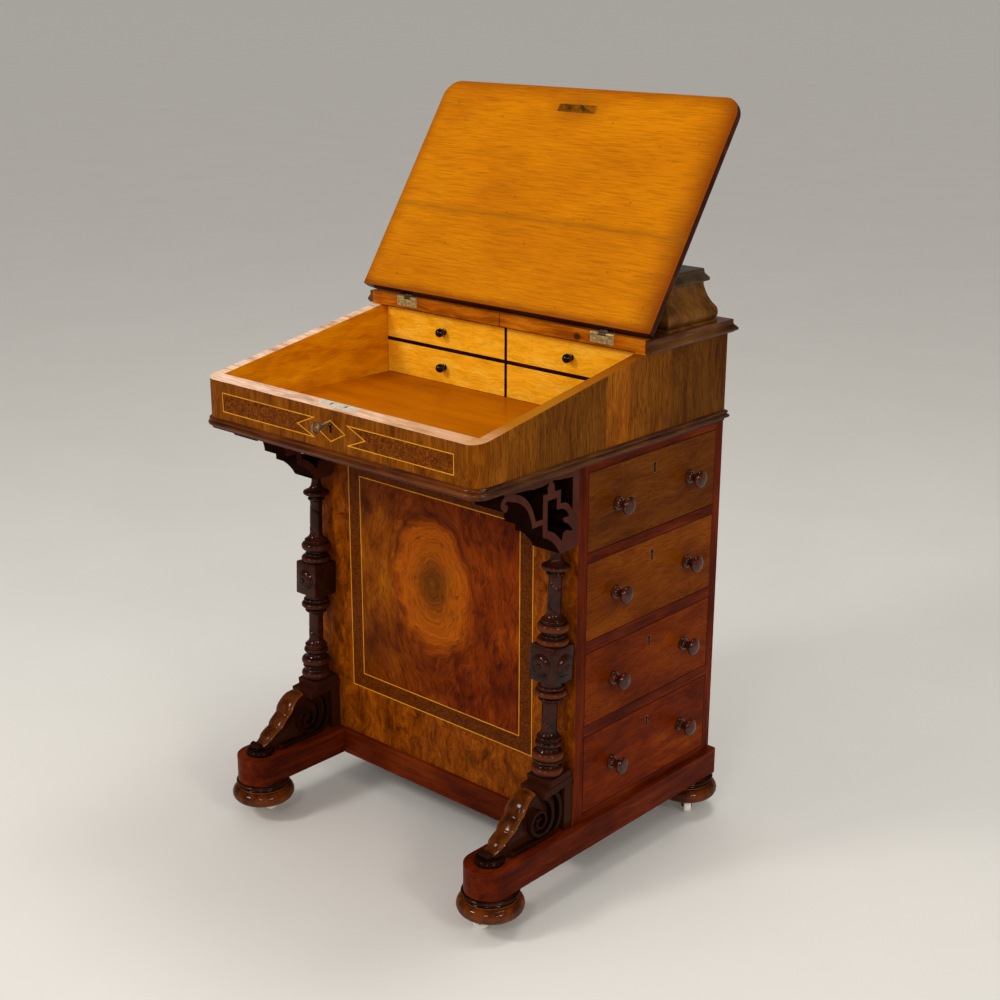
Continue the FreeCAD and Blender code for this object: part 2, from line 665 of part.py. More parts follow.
def hinge_rail():
    rail = box((-BOX_HALF, BOX_HALF), (DESK_TOP_FRONT, DESK_TOP_FRONT + HINGE_RAIL_T), (PLATFORM_Z, TOP_Z))
    room = HINGE_R + HINGE_NOTCH
    for x0, x1 in HINGES:
        rail = rail.cut(box((x0 - 0.4, x1 + 0.4), (DESK_TOP_FRONT - 1, AXIS_Y + room),
                            (AXIS_Z - room, TOP_Z + 1)))
        rail = rail.cut(box((x0, x1), (DESK_TOP_FRONT - 1, DESK_TOP_FRONT + HINGE_LEAF_T),
                            (AXIS_Z - HINGE_LEAF_H, TOP_Z)))
    return rail.Solids[0]


def hinge_plate(x0, x1):
    """The fixed leaf with its two outer knuckles and the pin."""
    leaf = box((x0, x1), (DESK_TOP_FRONT, DESK_TOP_FRONT + HINGE_LEAF_T),
               (AXIS_Z - HINGE_LEAF_H, AXIS_Z - 1.2))
    middle = (x0 + KNUCKLE, x1 - KNUCKLE)
    gap = rod((middle[0] - SLIDE / 2, AXIS_Y, AXIS_Z), (1, 0, 0), HINGE_R + SLIDE, KNUCKLE + SLIDE)
    knuckles = rod((x0, AXIS_Y, AXIS_Z), (1, 0, 0), HINGE_R, HINGE_W)
    pin = rod((x0, AXIS_Y, AXIS_Z), (1, 0, 0), HINGE_PIN_R, HINGE_W)
    return fused(leaf.fuse(knuckles).cut(gap), pin)


def make_writing_box():
    y0 = BOX_FRONT + BOX_FRONT_T
    inner = BOX_HALF - BOX_WALL
    export("box_walls", *box_walls())
    export("box_front_rail", front_rail())
    export("well_floor", box((-inner, inner), (y0, -BOX_WALL), (BOX_Z, WELL_Z)))
    export("lower_moulding", *lower_moulding())
    export("platform_board", box((-BOX_HALF, BOX_HALF), (DESK_TOP_FRONT + HINGE_RAIL_T, 0),
                                 (PLATFORM_Z, TOP_Z)))
    export("platform_moulding", *platform_moulding())
    export("hinge_rail", hinge_rail())


# ---- nest of small drawers ----

NEST_FRONT = DESK_TOP_FRONT + NEST_SETBACK
NEST_TOP = PLATFORM_Z - NEST_TOP_T
SHELF_Z = (WELL_Z + NEST_LOWER_H, WELL_Z + NEST_LOWER_H + NEST_SHELF_T)


def small_drawer(x, z):
    """A small drawer in its opening: front, sides, back and bottom glued up."""
    x0, x1 = x[0] + SMALL_GAP, x[1] - SMALL_GAP
    z0, z1 = z[0] + SLIDE, z[1] - SMALL_GAP
    y0, y1 = NEST_FRONT, NEST_FRONT + SMALL_L
    back_of_front = y0 + SMALL_FRONT_T
    rim = z1 - 4
    floor = z0 + SMALL_BOTTOM_T
    t = SMALL_SIDE_T
    return [box((x0, x1), (y0, back_of_front), (z0, z1)),
            box((x0, x0 + t), (back_of_front, y1), (z0, rim)),
            box((x1 - t, x1), (back_of_front, y1), (z0, rim)),
            box((x0 + t, x1 - t), (y1 - t, y1), (floor, rim)),
            box((x0 + t, x1 - t), (back_of_front, y1), (z0, floor))]


def make_nest():
    inner = BOX_HALF - BOX_WALL
    post = NEST_POST_T / 2
    depth = (NEST_FRONT, -BOX_WALL)
    shelf = box((post, inner), depth, SHELF_Z)
    export("small_drawer_case", box((-post, post), depth, (WELL_Z, NEST_TOP)),
           box((-inner, inner), depth, (NEST_TOP, PLATFORM_Z)), *both(shelf))
    places = [((-inner, -post), (SHELF_Z[1], NEST_TOP)), ((post, inner), (SHELF_Z[1], NEST_TOP)),
              ((-inner, -post), (WELL_Z, SHELF_Z[0])), ((post, inner), (WELL_Z, SHELF_Z[0]))]
    for number, (x, z) in enumerate(places, 1):
        export(f"small_drawer_{number}", *small_drawer(x, z))
        middle = ((x[0] + x[1]) / 2, NEST_FRONT, (z[0] + z[1]) / 2)
        export(f"small_drawer_{number}_knob",
               knob(middle, (0, -1, 0), SMALL_KNOB_R, SMALL_KNOB_L, 5.0, 3.2))


# ---- sloping lid, drawn with its hinge axis along x through the origin, running forward along -y ----

def lid_plate(grow):
    """The link plate, or with grow the pocket it is let into."""
    return box((-LINK_W / 2, LINK_W / 2), (LINK_U - LINK_D / 2, LINK_U + LINK_D / 2),
               (INNER_FACE - grow, INNER_FACE + LINK_T))


def skiver_field():
    return box((-LID_HALF + SKIVER_MARGIN, LID_HALF - SKIVER_MARGIN),
               (LID_Y[0] + SKIVER_MARGIN, LID_Y[1] - 0.7 * SKIVER_MARGIN),
               (OUTER_FACE - SKIVER_T, OUTER_FACE))


def lid_leaf(x0, x1):
    top = OUTER_FACE - 0.6
    return box((x0, x1), (LID_Y[1] - HINGE_LEAF_T, LID_Y[1]), (top - HINGE_LEAF_H, top))


def lid_hinge(x0, x1):
    """The moving leaf with its web and middle knuckle."""
    a, b = x0 + KNUCKLE + SLIDE / 2, x1 - KNUCKLE - SLIDE / 2
    knuckle = rod((a, 0, 0), (1, 0, 0), HINGE_R, b - a)
    web = box((a, b), (LID_Y[1] - HINGE_LEAF_T, 0), (-HINGE_LEAF_T / 2, HINGE_LEAF_T / 2))
    bore = rod((a - 1, 0, 0), (1, 0, 0), HINGE_PIN_R + RUNNING, b - a + 2)
    return fused(lid_leaf(x0, x1), web, knuckle).cut(bore).Solids[0]


def link_plate():
    tip = INNER_FACE - HOOK_H
    hooks = [box((x - HOOK_T / 2, x + HOOK_T / 2), (HOOK_U - HOOK_D / 2, HOOK_U + HOOK_D / 2),
                 (tip, INNER_FACE + 1))
             for x in (-HOOK_AT, HOOK_AT)]
    eyes = rod((-LINK_W / 2, HOOK_U, tip + HOOK_EYE_UP), (1, 0, 0), HOOK_EYE_R, LINK_W)
    return fused(lid_plate(0), *hooks).cut(eyes).Solids[0]


def lid_panel():
    board = box((-LID_HALF, LID_HALF), LID_Y, (INNER_FACE, OUTER_FACE))
    board = board.makeFillet(LID_CORNER_R,
                             edges_at(board, lambda b: b.ZLength > 1 and b.YMax < LID_Y[0] + 1))
    rim = edges_at(board, lambda b: b.ZMin > OUTER_FACE - 0.01 and b.YMin < LID_Y[1] - 1)
    board = board.makeChamfer(LID_BEVEL, LID_T - LID_NOSE_T, rim)
    board = board.cut(skiver_field()).cut(lid_plate(1))
    for x0, x1 in HINGES:
        board = board.cut(lid_leaf(x0, x1))
    return board.Solids[0]


def make_lid():
    export("lid_panel", open_lid(lid_panel()))
    export("lid_skiver", open_lid(skiver_field()))
    export("lid_brassware", *[open_lid(lid_hinge(*span)) for span in HINGES], open_lid(link_plate()))


# ---- lock and key ----

def lock_case():
    """The lock's hollow case, and its plate let into the rim with slots for the link plate's hooks."""
    x = CASE_W / 2
    w = CASE_WALL
    case = box((-x, x), CASE_Y, CASE_Z)
    case = case.cut(box((-x + w, x - w), (CASE_Y[0] + w, CASE_Y[1] - w), (CASE_Z[0] + w, CASE_Z[1] - w)))
    case = case.cut(rod((0, CASE_Y[0] - 1, KEY_Z), (0, 1, 0), KEY_SHANK_R + RUNNING, w + 2))
    case = case.cut(box((-BIT_T / 2 - 0.4, BIT_T / 2 + 0.4), (CASE_Y[0] - 1, CASE_Y[0] + w + 0.1),
                        (KEY_Z - BIT_R - 0.6, KEY_Z)))
    plate = tilted_plate(LINK_W, LINK_D, LINK_T)
    for slot in hook_slots():
        plate = plate.cut(slot)
        case = case.cut(slot)
    return [case.Solids[0], plate.Solids[0]]


def key():
    """Oval bow, collar, round shank and a bit that hangs down, on an axis along y."""
    bow_y = BOX_FRONT - KEY_STANDOUT + KEY_BOW_W / 2
    shank_end = CASE_Y[1] - CASE_WALL - 0.6
    ovals = []
    for a, b in ((KEY_BOW_H / 2, KEY_BOW_W / 2), (KEY_BOW_H / 2 - 2.6, KEY_BOW_W / 2 - 2.4)):
        oval = Part.Ellipse(V(0, 0, 0), a, b).toShape()
        face = Part.Face(Part.Wire([oval]))
        solid = face.extrude(V(0, 0, KEY_BOW_T))
        solid.Placement = FreeCAD.Placement(V(-KEY_BOW_T / 2, bow_y, KEY_Z),
                                            FreeCAD.Rotation(V(0, 0, 1), V(0, 1, 0), V(1, 0, 0), "XZY"))
        ovals.append(solid)
    start = bow_y + KEY_BOW_W / 2 - 1.6
    shank = rod((0, start, KEY_Z), (0, 1, 0), KEY_SHANK_R, shank_end - start)
    collar = rod((0, start + 1, KEY_Z), (0, 1, 0), KEY_SHANK_R + 1.4, 2.2)
    bit = box((-BIT_T / 2, BIT_T / 2), (CASE_Y[0] + CASE_WALL + 0.8, CASE_Y[0] + CASE_WALL + 0.8 + BIT_L),
              (KEY_Z - BIT_R, KEY_Z))
    return fused(ovals[0].cut(ovals[1]), shank, collar, bit)


def lock_bolt():
    """A sliding bar with two pins that shoot through the eyes of the lid's hooks."""
    y = (HOOK_Y - BOLT_T / 2, HOOK_Y + BOLT_T / 2)
    eye = closed_lid(Part.Vertex(0, HOOK_U, INNER_FACE - HOOK_H + HOOK_EYE_UP)).Point
    parts = []
    for hook in (-HOOK_AT, HOOK_AT):
        tip = hook - HOOK_T / 2 - 0.6
        parts.append(rod((tip - PIN_L, eye.y, eye.z), (1, 0, 0), PIN_R, PIN_L))
        lug = (tip - PIN_L - PIN_LUG_T, tip - PIN_L + 0.2)
        parts.append(box(lug, y, (BOLT_Z[0], eye.z + PIN_R + 0.4)))
    ends = (-HOOK_AT - HOOK_T / 2 - 0.6 - PIN_L - PIN_LUG_T, HOOK_AT - HOOK_T / 2 - 0.6 - PIN_L + 0.2)
    return fused(box(ends, y, BOLT_Z), *parts)


def make_lock():
    export("lock_case", *lock_case())
    export("lock_bolt", lock_bolt())
    export("key", key())


# ---- stationery box ----

def ogee_case_block():
    """The case's outside: an ogee on both ends and the front, flat behind."""
    n = STAT_NECK_HALF
    z = TOP_Z
    h = STAT_CASE_H
    curve = [(25.8, 0), (25.8, 3), (21.3, 3), ((26.2, 8), (26.6, 13.5)), ((24.6, 20.5), (16, 28.5)),
             ((5.2, 38), (0, 50)), (0, h)]
    right = [lift(p, lambda a, b: (n + a, z + b)) for p in curve]
    # The left side runs back down, so each arc is written the other way round.
    left = [(-n, z + h), (-n, z + 50), ((-n - 5.2, z + 38), (-n - 16, z + 28.5)),
            ((-n - 24.6, z + 20.5), (-n - 26.6, z + 13.5)),
            ((-n - 26.2, z + 8), (-n - 21.3, z + 3)), (-n - 25.8, z + 3), (-n - 25.8, z)]
    across = prism(right + left, "y", (STAT_FRONT - 40, STAT_BACK))
    f = STAT_FRONT
    front = [(f, z + h), (f, z + 50), ((f - 5.2, z + 38), (f - 16, z + 28.5)),
             ((f - 24.6, z + 20.5), (f - 26.6, z + 13.5)),
             ((f - 26.2, z + 8), (f - 21.3, z + 3)), (f - 25.8, z + 3), (f - 25.8, z)]
    along = prism([(STAT_BACK, z), (STAT_BACK, z + h)] + front, "x", (-n - 40, n + 40))
    return across.common(along).Solids[0]


STAT_INNER_X = STAT_NECK_HALF - STAT_WALL
STAT_INNER_Y = (STAT_FRONT + STAT_WALL, STAT_BACK - STAT_WALL)
STAT_TOP_Z = TOP_Z + STAT_CASE_H
STAT_AXIS = (STAT_BACK + 1.1, STAT_TOP_Z + SLIDE / 2)
STAT_HINGE_AT = STAT_NECK_HALF - STAT_HINGE_IN
STAT_HINGES = [(x - STAT_HINGE_W / 2, x + STAT_HINGE_W / 2) for x in (-STAT_HINGE_AT, STAT_HINGE_AT)]


def stat_barrel(x0, x1, radius):
    return rod((x0, *STAT_AXIS), (1, 0, 0), radius, x1 - x0)


def stat_leaf(x0, x1, side):
    """The leaf on the case (side -1) or on the lid (side 1), let in flush at the back."""
    z = sorted((STAT_AXIS[1] + side * 0.6, STAT_AXIS[1] + side * STAT_LEAF_H))
    return box((x0, x1), (STAT_BACK - STAT_LEAF_T, STAT_BACK), z)


def stationery_case():
    block = ogee_case_block()
    ix = STAT_INNER_X
    y0, y1 = STAT_INNER_Y
    floor = TOP_Z + STAT_FLOOR_T
    block = block.cut(box((-ix, ix), (y0, y1), (floor, STAT_TOP_Z + 1)))
    for x0, x1 in STAT_HINGES:
        block = block.cut(stat_barrel(x0 - 0.3, x1 + 0.3, STAT_HINGE_R + SLIDE)).cut(stat_leaf(x0, x1, -1))
    far = BOX_W
    z = (TOP_Z - 1, STAT_TOP_Z + 1)
    pieces = [box((-far, far), (-far, y0), z), box((-far, -ix), (y0, 0), z), box((ix, far), (y0, 0), z),
              box((-ix, ix), (y1, 0), z), box((-ix, ix), (y0, y1), (TOP_Z - 1, floor))]
    solids = [block.common(piece).Solids[0] for piece in pieces]
    third = 2 * ix / 3
    for x in (-third / 2, third / 2):
        solids.append(box((x - STAT_DIVIDER_T / 2, x + STAT_DIVIDER_T / 2), (y0, y1),
                          (floor, STAT_TOP_Z - 8)))
    return solids


def stationery_lid():
    n = STAT_NECK_HALF
    z = STAT_TOP_Z + SLIDE
    t = STAT_LID_T - SLIDE
    out = STAT_LID_OUT
    edge = [(out - 3, 0), ((out, 2.8), (out - 0.6, 5.8)), (out - 7.2, 9.5), ((out - 11, 12), (out - 12, t))]
    right = [lift(p, lambda a, b: (n + a, z + b)) for p in edge]
    left = [(-n - out + 12, z + t), ((-n - out + 11, z + 12), (-n - out + 7.2, z + 9.5)),
            (-n - out + 0.6, z + 5.8),
            ((-n - out, z + 2.8), (-n - out + 3, z))]
    across = prism(right + left, "y", (STAT_FRONT - 40, STAT_BACK))
    f = STAT_FRONT
    front = [(f - out + 12, z + t), ((f - out + 11, z + 12), (f - out + 7.2, z + 9.5)),
             (f - out + 0.6, z + 5.8),
             ((f - out, z + 2.8), (f - out + 3, z))]
    along = prism([(STAT_BACK, z), (STAT_BACK, z + t)] + front, "x", (-n - 40, n + 40))
    block = across.common(along)
    for x0, x1 in STAT_HINGES:
        block = block.cut(stat_barrel(x0 - 0.3, x1 + 0.3, STAT_HINGE_R + SLIDE)).cut(stat_leaf(x0, x1, 1))
    return block.Solids[0]


def stat_plate(x0, x1):
    """The fixed leaf of a stationery box hinge, with its outer knuckles and pin."""
    third = STAT_HINGE_W / 3
    gap = rod((x0 + third - SLIDE / 2, *STAT_AXIS), (1, 0, 0), STAT_HINGE_R + SLIDE, third + SLIDE)
    body = stat_leaf(x0, x1, -1).fuse(stat_barrel(x0, x1, STAT_HINGE_R)).cut(gap)
    return fused(body, stat_barrel(x0, x1, HINGE_PIN_R))


def stat_moving_leaf(x0, x1):
    third = STAT_HINGE_W / 3
    a, b = x0 + third + SLIDE / 2, x1 - third - SLIDE / 2
    body = fused(stat_leaf(x0, x1, 1), stat_barrel(a, b, STAT_HINGE_R))
    clear = [rod((x0 - 1, *STAT_AXIS), (1, 0, 0), STAT_HINGE_R + SLIDE, a - x0 + 1),
             rod((b, *STAT_AXIS), (1, 0, 0), STAT_HINGE_R + SLIDE, x1 - b + 1)]
    for room in clear:
        body = body.cut(room)
    return body.cut(stat_barrel(x0 - 1, x1 + 1, HINGE_PIN_R + RUNNING)).Solids[0]


def make_stationery_box():
    export("stationery_case", *stationery_case())
    export("stationery_lid", stationery_lid())
    export("stationery_lid_leaves", *[stat_moving_leaf(*span) for span in STAT_HINGES])
    export("hinge_plates", *[hinge_plate(*span) for span in HINGES],
           *[stat_plate(*span) for span in STAT_HINGES])


# ---- columns, trusses and brackets ----

def column():
    """A turned column that leans, its foot forward, with a square block at half height."""
    bottom = CARCASS_Z + TRUSS_H
    top = BOX_Z - BRACKET_H
    spare = top - bottom - COLUMN_PLAIN_H
    low = LOWER_SHAFT_SHARE * spare     # added to the lower shaft, and so to the height of all above it
    foot = [(0, -3), (20.5, -3), (20.5, 3), ((19.5, 8), (17.4, 9.5)), ((18.6, 15), (20.7, 20)),
            ((20.2, 26), (14, 29)),
            (13.3, 32), (16.8, 39), (16.8, 44), (16, 51), ((11.8, 56), (10.7, 62))]
    waist = [(10.9, 101), (12, 105), (21.5, 107), (21.5, 112), (20.5, 116), (18.7, 122), (18.7, 190),
             (20.9, 192),
             (20.9, 196), (19.2, 202), (16.4, 208), ((20.9, 215), (18.4, 226)), (12, 230), (9.5, 234)]
    head = [(9.5, 285), (11.5, 293), ((13, 297), (11.5, 300)), (18, 303), (18, 309), (8, 312), (6.6, 320),
            (8.4, 336),
            (0, 336)]
    waist = [lift(p, lambda r, h: (r, h + low)) for p in waist]
    head = [lift(p, lambda r, h: (r, h + spare)) for p in head]
    shape = turned(foot + waist + head, 0, 0, bottom)
    middle = bottom + 165.7 + low
    half = COLUMN_BLOCK / 2
    block = box((-half, half), (-half, half), (middle - 26.5, middle + 26.5))
    block = block.makeFillet(2, block.Edges)
    bosses = [rod((half - 1, 0, middle), (1, 0, 0), 15.5, 3.5), rod((half, 0, middle), (1, 0, 0), 5, 6),
              rod((0, -half + 1, middle), (0, -1, 0), 15.5, 3.5), rod((0, -half, middle), (0, -1, 0), 5, 6)]
    shape = fused(shape, block, *bosses)
    shape.rotate(V(0, 0, middle), V(1, 0, 0), -COLUMN_LEAN)
    shape.translate(V(COLUMN_AT, CARCASS_FRONT - COLUMN_AHEAD, 0))
    room = box((0, BOX_W), (CARCASS_FRONT - PLINTH_FRONT, CARCASS_FRONT), (bottom, top))
    return shape.common(room).Solids[0]


def ribbon(points, x):
    """A flat strip of wood that follows (ahead, down, width) points in front of the carcass."""
    centre = Part.BSplineCurve()
    centre.interpolate([V(0, -a, b) for a, b, w in points])
    sides = [[], []]
    for (a, b, width), knot in zip(points, centre.getKnots()):
        tangent = centre.tangent(knot)[0]
        normal = V(0, -tangent.z, tangent.y)
        for side, sign in zip(sides, (1, -1)):
            side.append(centre.value(knot) + normal * (sign * width / 2))
    curves = []
    for side in sides:
        curve = Part.BSplineCurve()
        curve.interpolate(side)
        curves.append(curve.toShape())
    ends = [Part.LineSegment(sides[0][i], sides[1][i]).toShape() for i in (0, -1)]
    wire = Part.Wire(Part.__sortEdges__(curves + ends))
    solid = Part.Face(wire).extrude(V(x[1] - x[0], 0, 0))
    solid.translate(V(x[0], CARCASS_FRONT, BOX_Z))
    return solid


def bracket_bar(ahead, down, x):
    return box(x, (CARCASS_FRONT - ahead[1], CARCASS_FRONT - ahead[0]), (BOX_Z + down[0], BOX_Z + down[1]))


def bracket_plate(points, x):
    return prism([(CARCASS_FRONT - a, BOX_Z + b) for a, b in points], "x", x)


def fret_bracket():
    """A pierced bracket between the carcass, the underside of the box and the head of a column."""
    x = (HALF - BRACKET_W, HALF)
    stile = bracket_bar((0, 13.5), (-BRACKET_H + 6, 0), x)
    rail = bracket_plate([(0, 0), (0, -6), (12, -8), (22, -8.2), (30, -6.8), (40, -6.4), (52, -4.2),
                          (64, -6.2), (78, -7.6),
                          (92, -7.8), (103, -6.2), (118, -5), (150, -3.5), (150, 0)], x)
    crook = ribbon([(151, -19, 7), (151.5, -12, 8), (146, -8, 8), (136.5, -8.8, 9.5), (124, -12.4, 10),
                    (111, -20.5, 9.5),
                    (101.5, -31, 8.5), (95.5, -43, 8), (92.5, -52, 8), (91.5, -60, 8)], x)
    bud = rod((x[0], CARCASS_FRONT - 147.5, BOX_Z - 20), (1, 0, 0), 5.2, BRACKET_W)
    link = bracket_bar((66, 95.5), (-60.5, -52.5), x)
    post = bracket_bar((64.5, 74), (-78, -20), x)
    top_bar = bracket_bar((38, 74), (-30, -20), x)
    short_bar = bracket_bar((38, 46), (-46, -20), x)
    finial = bracket_plate([(60.5, -3), (65.3, -13), (64, -20.5), (50, -20.5), (51, -11), (56.5, -3)], x)
    leaf = ribbon([(44, -43, 8), (36, -43.5, 7.5), (29, -45, 9), (22, -50.5, 9), (16, -59, 9), (9, -68, 9)],
                  x)
    small_leaf = bracket_plate([(10, -56), (22, -61), (32.8, -61.5), (31, -66.5), (22, -72), (10, -84)], x)
    arch = ribbon([(72, -74.5, 9), (60, -78.5, 11), (48, -87.5, 11.5), (36, -101, 12)], x)
    foot = bracket_plate([(0, -70), (12, -84), (26, -79.6), (32.4, -82.2), (34.3, -91), (41, -105),
                          (38, -BRACKET_H),
                          (6, -BRACKET_H), (0, -104)], x)
    return fused(stile, rail, crook, bud, link, post, top_bar, short_bar, finial, leaf, small_leaf, arch,
                 foot)


def truss_plate(points, x):
    """A slab drawn as (ahead of the carcass, above the plinth)."""
    return prism([lift(p, lambda a, b: (CARCASS_FRONT - a, CARCASS_Z + b)) for p in points], "x", x)


def scroll_truss():
    """The carved scroll under a column, running down to the front of the plinth in three scales."""
    x = (COLUMN_AT - TRUSS_W / 2, COLUMN_AT + TRUSS_W / 2)
    cap_top = TRUSS_H
    cap = truss_plate([(3, cap_top - TRUSS_CAP_H), (49.7, cap_top - TRUSS_CAP_H), (49.7, cap_top),
                       (3, cap_top)], x)
    shelf_top = cap_top - TRUSS_CAP_H
    shelf = truss_plate([(0, shelf_top - TRUSS_CAP_H), (60, shelf_top - TRUSS_CAP_H), (62.7, shelf_top),
                         (0, shelf_top)],
                        (x[0] - 1, x[1] + 1))
    neck = shelf_top - TRUSS_CAP_H
    tip = TRUSS_REACH
    body = truss_plate([(0, 0), (tip - 3.5, 0), ((tip, 5), (tip - 4.5, 10)), (154, 17),
                        ((147, 24), (138, 22)), ((130, 34), (116, 36)),
                        ((106, 48), (97, 50)), ((93, 62), (86, 73)), ((78, 79), (66, 73)), (58, neck),
                        (0, neck)], x)
    return fused(cap, shelf, body)


def make_supports():
    export("columns", *both(column()))
    export("fret_brackets", *both(fret_bracket()))
    export("scroll_trusses", *both(scroll_truss()))


os.makedirs("parts", exist_ok=True)
make_base()
make_carcass()
make_writing_box()
make_nest()
make_lid()
make_lock()
make_stationery_box()
make_supports()
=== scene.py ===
# %% [markdown]
# # A davenport desk
# A davenport is a small writing desk: a sloped box that slides drawers out of its side instead of its
# front. The frame below holds every joint and every board at its real size. What follows dresses it in
# veneer, polish, turned work and brass, piece by piece.

# %% Load the frame
import bmesh
import bpy
import json
import math
from mathutils import Matrix, Vector


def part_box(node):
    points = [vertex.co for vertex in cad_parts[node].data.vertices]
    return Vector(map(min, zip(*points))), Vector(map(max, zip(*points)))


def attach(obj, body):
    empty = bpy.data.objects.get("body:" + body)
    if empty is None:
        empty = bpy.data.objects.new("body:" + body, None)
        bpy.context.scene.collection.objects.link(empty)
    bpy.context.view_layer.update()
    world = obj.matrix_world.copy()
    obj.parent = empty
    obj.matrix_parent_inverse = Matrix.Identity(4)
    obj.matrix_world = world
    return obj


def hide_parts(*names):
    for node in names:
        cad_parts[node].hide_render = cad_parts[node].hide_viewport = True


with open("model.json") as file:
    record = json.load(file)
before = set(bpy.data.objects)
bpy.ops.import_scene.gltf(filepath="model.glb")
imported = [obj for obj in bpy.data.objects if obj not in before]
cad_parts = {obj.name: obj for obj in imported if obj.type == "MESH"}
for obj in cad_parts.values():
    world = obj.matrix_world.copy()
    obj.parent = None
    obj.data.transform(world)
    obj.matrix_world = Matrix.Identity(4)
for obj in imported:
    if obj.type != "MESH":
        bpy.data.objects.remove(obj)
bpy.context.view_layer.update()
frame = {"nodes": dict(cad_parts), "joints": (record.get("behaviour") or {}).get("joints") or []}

# %% [markdown]
# Cabinet work is drawn in millimetres, and this desk from two planes: the floor, and the flat back that
# stands against a wall. `at` turns such a drawing point into Blender's metres. x runs towards the side
# with the working drawers.

# %% The drawing frame
MM = 0.001
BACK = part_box("back_panel")[1].y


def at(x, y, z):
    """A point given in millimetres, with y measured from the flat back."""
    return Vector((x * MM, BACK + y * MM, z * MM))


def extent(node):
    """Lowest and highest corner of a frame piece, in the drawing's millimetres."""
    return [(corner - Vector((0, BACK, 0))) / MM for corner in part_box(node)]


panel_low, panel_high = extent("front_panel")
HALF = panel_high.x
CARCASS_FRONT = panel_low.y
CARCASS_Z = panel_low.z
BOX_Z = panel_high.z
print("carcass front", round(CARCASS_FRONT, 1), "from z", round(CARCASS_Z, 1), "to", round(BOX_Z, 1))

# %% [markdown]
# ## The finishes
# Polished wood is three things at once: a colour that wanders with the growth of the tree, fine fibres
# that follow the length of the board, and a thin hard film of shellac over both. A picture stretched over
# the boards would show the same board everywhere. A procedural wood can turn its grain to suit each piece,
# so each board runs the way that a cabinet maker would cut it.

# %% Small material helpers
def linear(code):
    """A colour written as sRGB hex, as the linear values that a shader wants."""
    parts = [int(code[i:i + 2], 16) / 255 for i in (1, 3, 5)]
    return [p / 12.92 if p <= 0.04045 else ((p + 0.055) / 1.055) ** 2.4 for p in parts] + [1.0]


def add(tree, kind, links=(), values=(), **settings):
    """Adds a node, sets its properties and sockets by name or number, and links sockets into it."""
    node = tree.nodes.new("ShaderNode" + kind)
    for name, value in settings.items():
        if hasattr(node, name):
            setattr(node, name, value)
        else:
            node.inputs[name.replace("_", " ")].default_value = value
    for socket, value in dict(values).items():
        node.inputs[socket].default_value = value
    for socket, source in dict(links).items():
        tree.links.new(source, node.inputs[socket])
    return node


def new_material(name):
    """A fresh material with its node tree and its shader."""
    material = bpy.data.materials.new(name)
    material.use_nodes = True
    tree = material.node_tree
    shader = tree.nodes["Principled BSDF"]
    return material, tree, shader


def mixed(tree, a, b, factor, blend="MIX", kind="RGBA"):
    """Two colours, or two values, mixed by a factor; each may be a plain one or a socket."""
    node = add(tree, "Mix", data_type=kind, blend_type=blend)
    wanted = "RGBA" if kind == "RGBA" else "VALUE"
    ends = [s for s in node.inputs if s.type == wanted and s.name in "AB"]
    for socket, value in zip([node.inputs[0]] + ends, (factor, a, b)):
        if isinstance(value, bpy.types.NodeSocket):
            tree.links.new(value, socket)
        else:
            socket.default_value = value
    return [s for s in node.outputs if s.type == wanted][0]


def ramp(tree, factor, stops):
    """A colour ramp from (position, hex) stops."""
    node = add(tree, "ValToRGB", {"Fac": factor})
    band = node.color_ramp
    while len(band.elements) < len(stops):
        band.elements.new(0.5)
    for element, (position, code) in zip(band.elements, stops):
        element.position = position
        element.color = linear(code)
    return node.outputs["Color"]


def fade(tree, value, start, stop, low=0.0, high=1.0):
    """Goes from low to high while the value goes from start to stop, and stays level beyond both."""
    return add(tree, "MapRange", {"Value": value}, {"From Min": start, "From Max": stop, "To Min": low,
                                                    "To Max": high}).outputs["Result"]


def sums(tree, operation, a, b=None, c=None, **settings):
    """Arithmetic on up to three values, each a plain number or a socket."""
    given = {i: v for i, v in enumerate((a, b, c)) if v is not None}
    links = {i: v for i, v in given.items() if isinstance(v, bpy.types.NodeSocket)}
    values = {i: v for i, v in given.items() if i not in links}
    return add(tree, "Math", links, values, operation=operation, **settings).outputs[0]


def length_of(tree, vector):
    """How far a vector reaches, as a socket."""
    return add(tree, "VectorMath", {0: vector}, operation="LENGTH").outputs["Value"]


def axes_of(tree, vector):
    """The X, Y and Z sockets of a vector."""
    return add(tree, "SeparateXYZ", {"Vector": vector}).outputs


print("helpers ready")

# %% [markdown]
# A wood is described by its dark, middle and light colours, the axis along which its fibres run, the
# width of its growth bands and the size of its cloudy patches. Fibres are long and thin: the pattern is
# squeezed along the grain. They are drawn about 2 mm wide, coarser than real ones, because finer ones
# would blur into a flat tone at this distance.

# %% Grain
FIBRE = 1.9
AXES = {"x": 0, "y": 1, "z": 2}
# Nearly all the shine of a polished board is in its film, so the wood itself hardly mirrors.
WOOD_SHINE, FILM_ROUGH = 0.02, 0.1


def board_coordinates(tree, turn=0.0, start=(0, 0, 0)):
    """Object coordinates in millimetres, turned about x and then shifted."""
    place = add(tree, "TexCoord").outputs["Object"]
    return add(tree, "Mapping", {"Vector": place}, Scale=(1000, 1000, 1000),
               Rotation=(math.radians(turn), 0, 0), Location=start).outputs["Vector"]


def noise(tree, vector, size, detail=3.0, roughness=0.55, twist=0.0):
    """Cloudy values whose features are about `size` units of the vector across."""
    return add(tree, "TexNoise", {"Vector": vector}, Scale=1 / size, Detail=detail, Roughness=roughness,
               Distortion=twist).outputs["Fac"]


